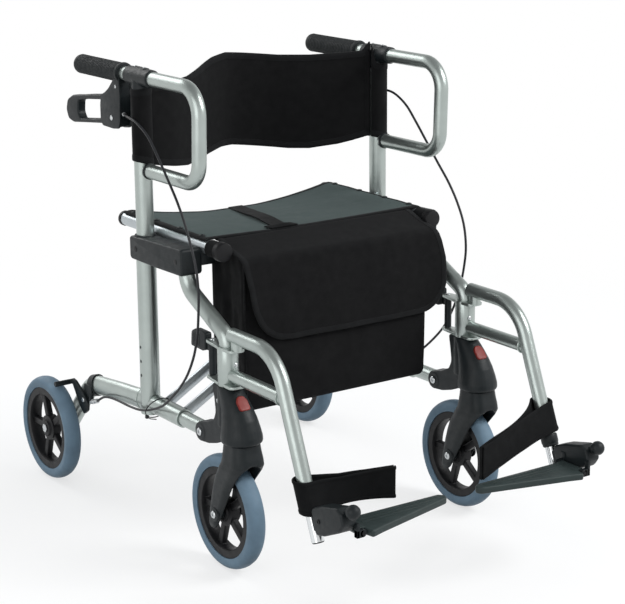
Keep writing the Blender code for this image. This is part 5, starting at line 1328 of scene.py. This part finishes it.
def bag_flap():
    read, length = path_reader(bent([(0, -0.188, 0.5483), (0, -0.1985, 0.5478), (0, -0.2655, 0.5225),
                                     (0, -0.2725, 0.44), (0, -0.269, 0.3745)], [0.012, 0.016, 0.2], 5))

    def cut(u, v):
        t = length * v
        inset = []
        for radius in FLAP_RADII:
            short = max(0.0, radius - (length - t))
            inset.append(radius - math.sqrt(max(0.0, radius ** 2 - short ** 2)))
        near, far = between(t, FLAP_NEAR) + inset[0], between(t, FLAP_FAR) - inset[1]
        return (near + (far - near) * u, t)

    def shape(s, t):
        spot = read(t)
        lower = clipped((t - 0.09) / 0.06)
        curl = max(0.0, (-0.13 - s) / 0.06) ** 2 * 0.006 * lower
        curl += max(0.0, (s - 0.17) / 0.06) ** 2 * 0.003 * lower
        wave = ripple(s, t, 5, 0.085, 0.003) * (0.35 + 0.65 * lower)
        drop = ripple(s, 0, 9, 0.12, 0.0015) if lower else 0.0
        return Vector((s, spot.y - curl + wave, spot.z + drop * lower))

    rows = 84
    marks = [k / rows for k in range(rows)]
    edge = [cut(0, k) for k in marks] + [cut(k / 60, 1.0) for k in range(61)]
    edge += [cut(1, k) for k in reversed(marks)]
    flap = fit("bag_flap", panel(110, rows, cut, shape, 0.0024), BETWEEN_BRACES, "bag")
    tape = fit("bag_flap_binding", bound_edge(edge[::-1], shape, 0.0012, 0.01), BETWEEN_BRACES, "binding")
    return flap, tape, length


def bag():
    shell = fit("bag_shell", bag_body(), BETWEEN_BRACES, "bag", "bag")
    reach = PIPING_REACH
    pipings = [pipe(bent([(-reach - 0.003, y, 0.524), (-reach - 0.0015, y, 0.26), (reach - 0.0045, y, 0.26),
                          (reach - 0.002, y, 0.524)], [0.01, 0.01], 10), 0.0019, 4)
               for y in (-0.26, -0.1615)]
    piping = together(*pipings)
    piping.data.uv_layers.new(name="cloth")
    fit("bag_piping", piping, BETWEEN_BRACES, "binding")
    flap, tape, length = bag_flap()
    for side in SIDES:
        loop = hollow([(0.0128, -0.2265), (0.0146, -0.2262), (0.0146, -0.2022), (0.0128, -0.2019)],
                      (side.way * SEAT_RAIL_X, 0, SEAT_RAIL_Z), BACK)
        loop.data.uv_layers.new(name="cloth")
        side.fit("bag_hanger_loop", loop, side.rail_brace, "webbing")


# Heel straps

HEEL_STRAPS = {
    -1: dict(end=(-0.125, -0.588), tube_z=(0.177, 0.2265), end_z=(0.189, 0.242), sag=0.012, close=3.2,
             top=((0.0, 0.0), (0.4, 0.05), (0.7, 0.45), (1.0, 1.0)), lift=0.002),
    1: dict(end=(0.049, -0.596), tube_z=(0.212, 0.259), end_z=(0.184, 0.24), sag=0.003, close=5.0,
            top=((0.0, 0.0), (1.0, 1.0)), lift=0.0),
}
STRAP_HALF = 0.0165
STRAP_GAP = 0.0022


def heel_strap(side):
    """Webbing looped round the hanger tube, with its two layers closing towards the end."""
    lie = HEEL_STRAPS[side.way]
    tube_z, end_z = lie["tube_z"], lie["end_z"]
    middle_z = sum(tube_z) / 2
    end = Vector((*lie["end"], 0))
    start = Vector((*hanger_point(side.x, middle_z).xy, 0))
    run = (end - start).normalized()
    across = Vector((-run.y, run.x, 0))
    reach = (end - start).length
    front, back = [], []
    for k in range(25):
        share = k / 24
        gap = STRAP_HALF * (1 - share) ** lie["close"] + STRAP_GAP
        bulge = math.sin(math.pi * share) * lie["sag"]
        front.append(start + run * reach * share + across * (bulge * 0.8 - gap))
        back.append(start + run * reach * share + across * (gap + bulge * 1.25))
    wrap = [start + (Quaternion(UP, math.radians(90 + 180 * k / 12)) @ run) * (STRAP_HALF + STRAP_GAP)
            for k in range(1, 12)]
    hem = [end + run * STRAP_GAP * math.sin(math.pi * k / 4) - across * STRAP_GAP * math.cos(math.pi * k / 4)
           for k in range(1, 4)]
    read, length = path_reader(back[::-1] + wrap + front + hem)
    wide = tube_z[1] - tube_z[0]

    def shape(s, t):
        spot = read(s)
        away = clipped((spot - start).dot(run) / reach)
        low = tube_z[0] + (end_z[0] - tube_z[0]) * away + lie["lift"] * math.sin(math.pi * away)
        high = tube_z[1] + (end_z[1] - tube_z[1]) * between(away, lie["top"])
        z = low + (high - low) * t / wide
        lean = (middle_z - z) * HANGER_SLOPE * (1 - away) ** 2
        return Vector((spot.x, spot.y - lean, z)) + across * ripple(s, t, side.way, 0.06, 0.003) * away

    def cut(u, v):
        return (u * length, v * wide)

    columns = 110
    strap = side.fit("heel_strap_band", panel(columns, 12, cut, shape, 0.002), "footrest", "webbing",
                     "heel_strap")
    tape = side.fit("heel_strap_edges", both_edges(columns, cut, shape, 0.001, 0.005), "footrest", "webbing")
    area = sum((shape(k * length / 60, wide) - shape(k * length / 60, 0)).length * (length / 60)
               for k in range(60))


# The making, with the camera and the cords first

bpy.context.scene.view_settings.view_transform = "Standard"
add_camera()
add_studio()
FINISHES = make_finishes()
for frame_side in SIDES:
    brake_cable(frame_side)
seat()
backrest()
bag()
for frame_side in SIDES:
    for make in (heel_strap, hanger, latch, footrest, footplate, grip, clamp, brake_handle, brake_lever,
                 bracket, wheel_brake, cable_tie):
        make(frame_side)
for frame_side in SIDES:
    for make in (post_tubes, frame_tubes, handle_bars, seat_rails, braces):
        make(frame_side)
    wheel(frame_side, "rear", frame_side.way * REAR_WHEEL_X, AXLE_Y)
    wheel(frame_side, "front", frame_side.x, -AXLE_Y)
    caster_fork(frame_side)
    caster_housing(frame_side)
brace_pivot()
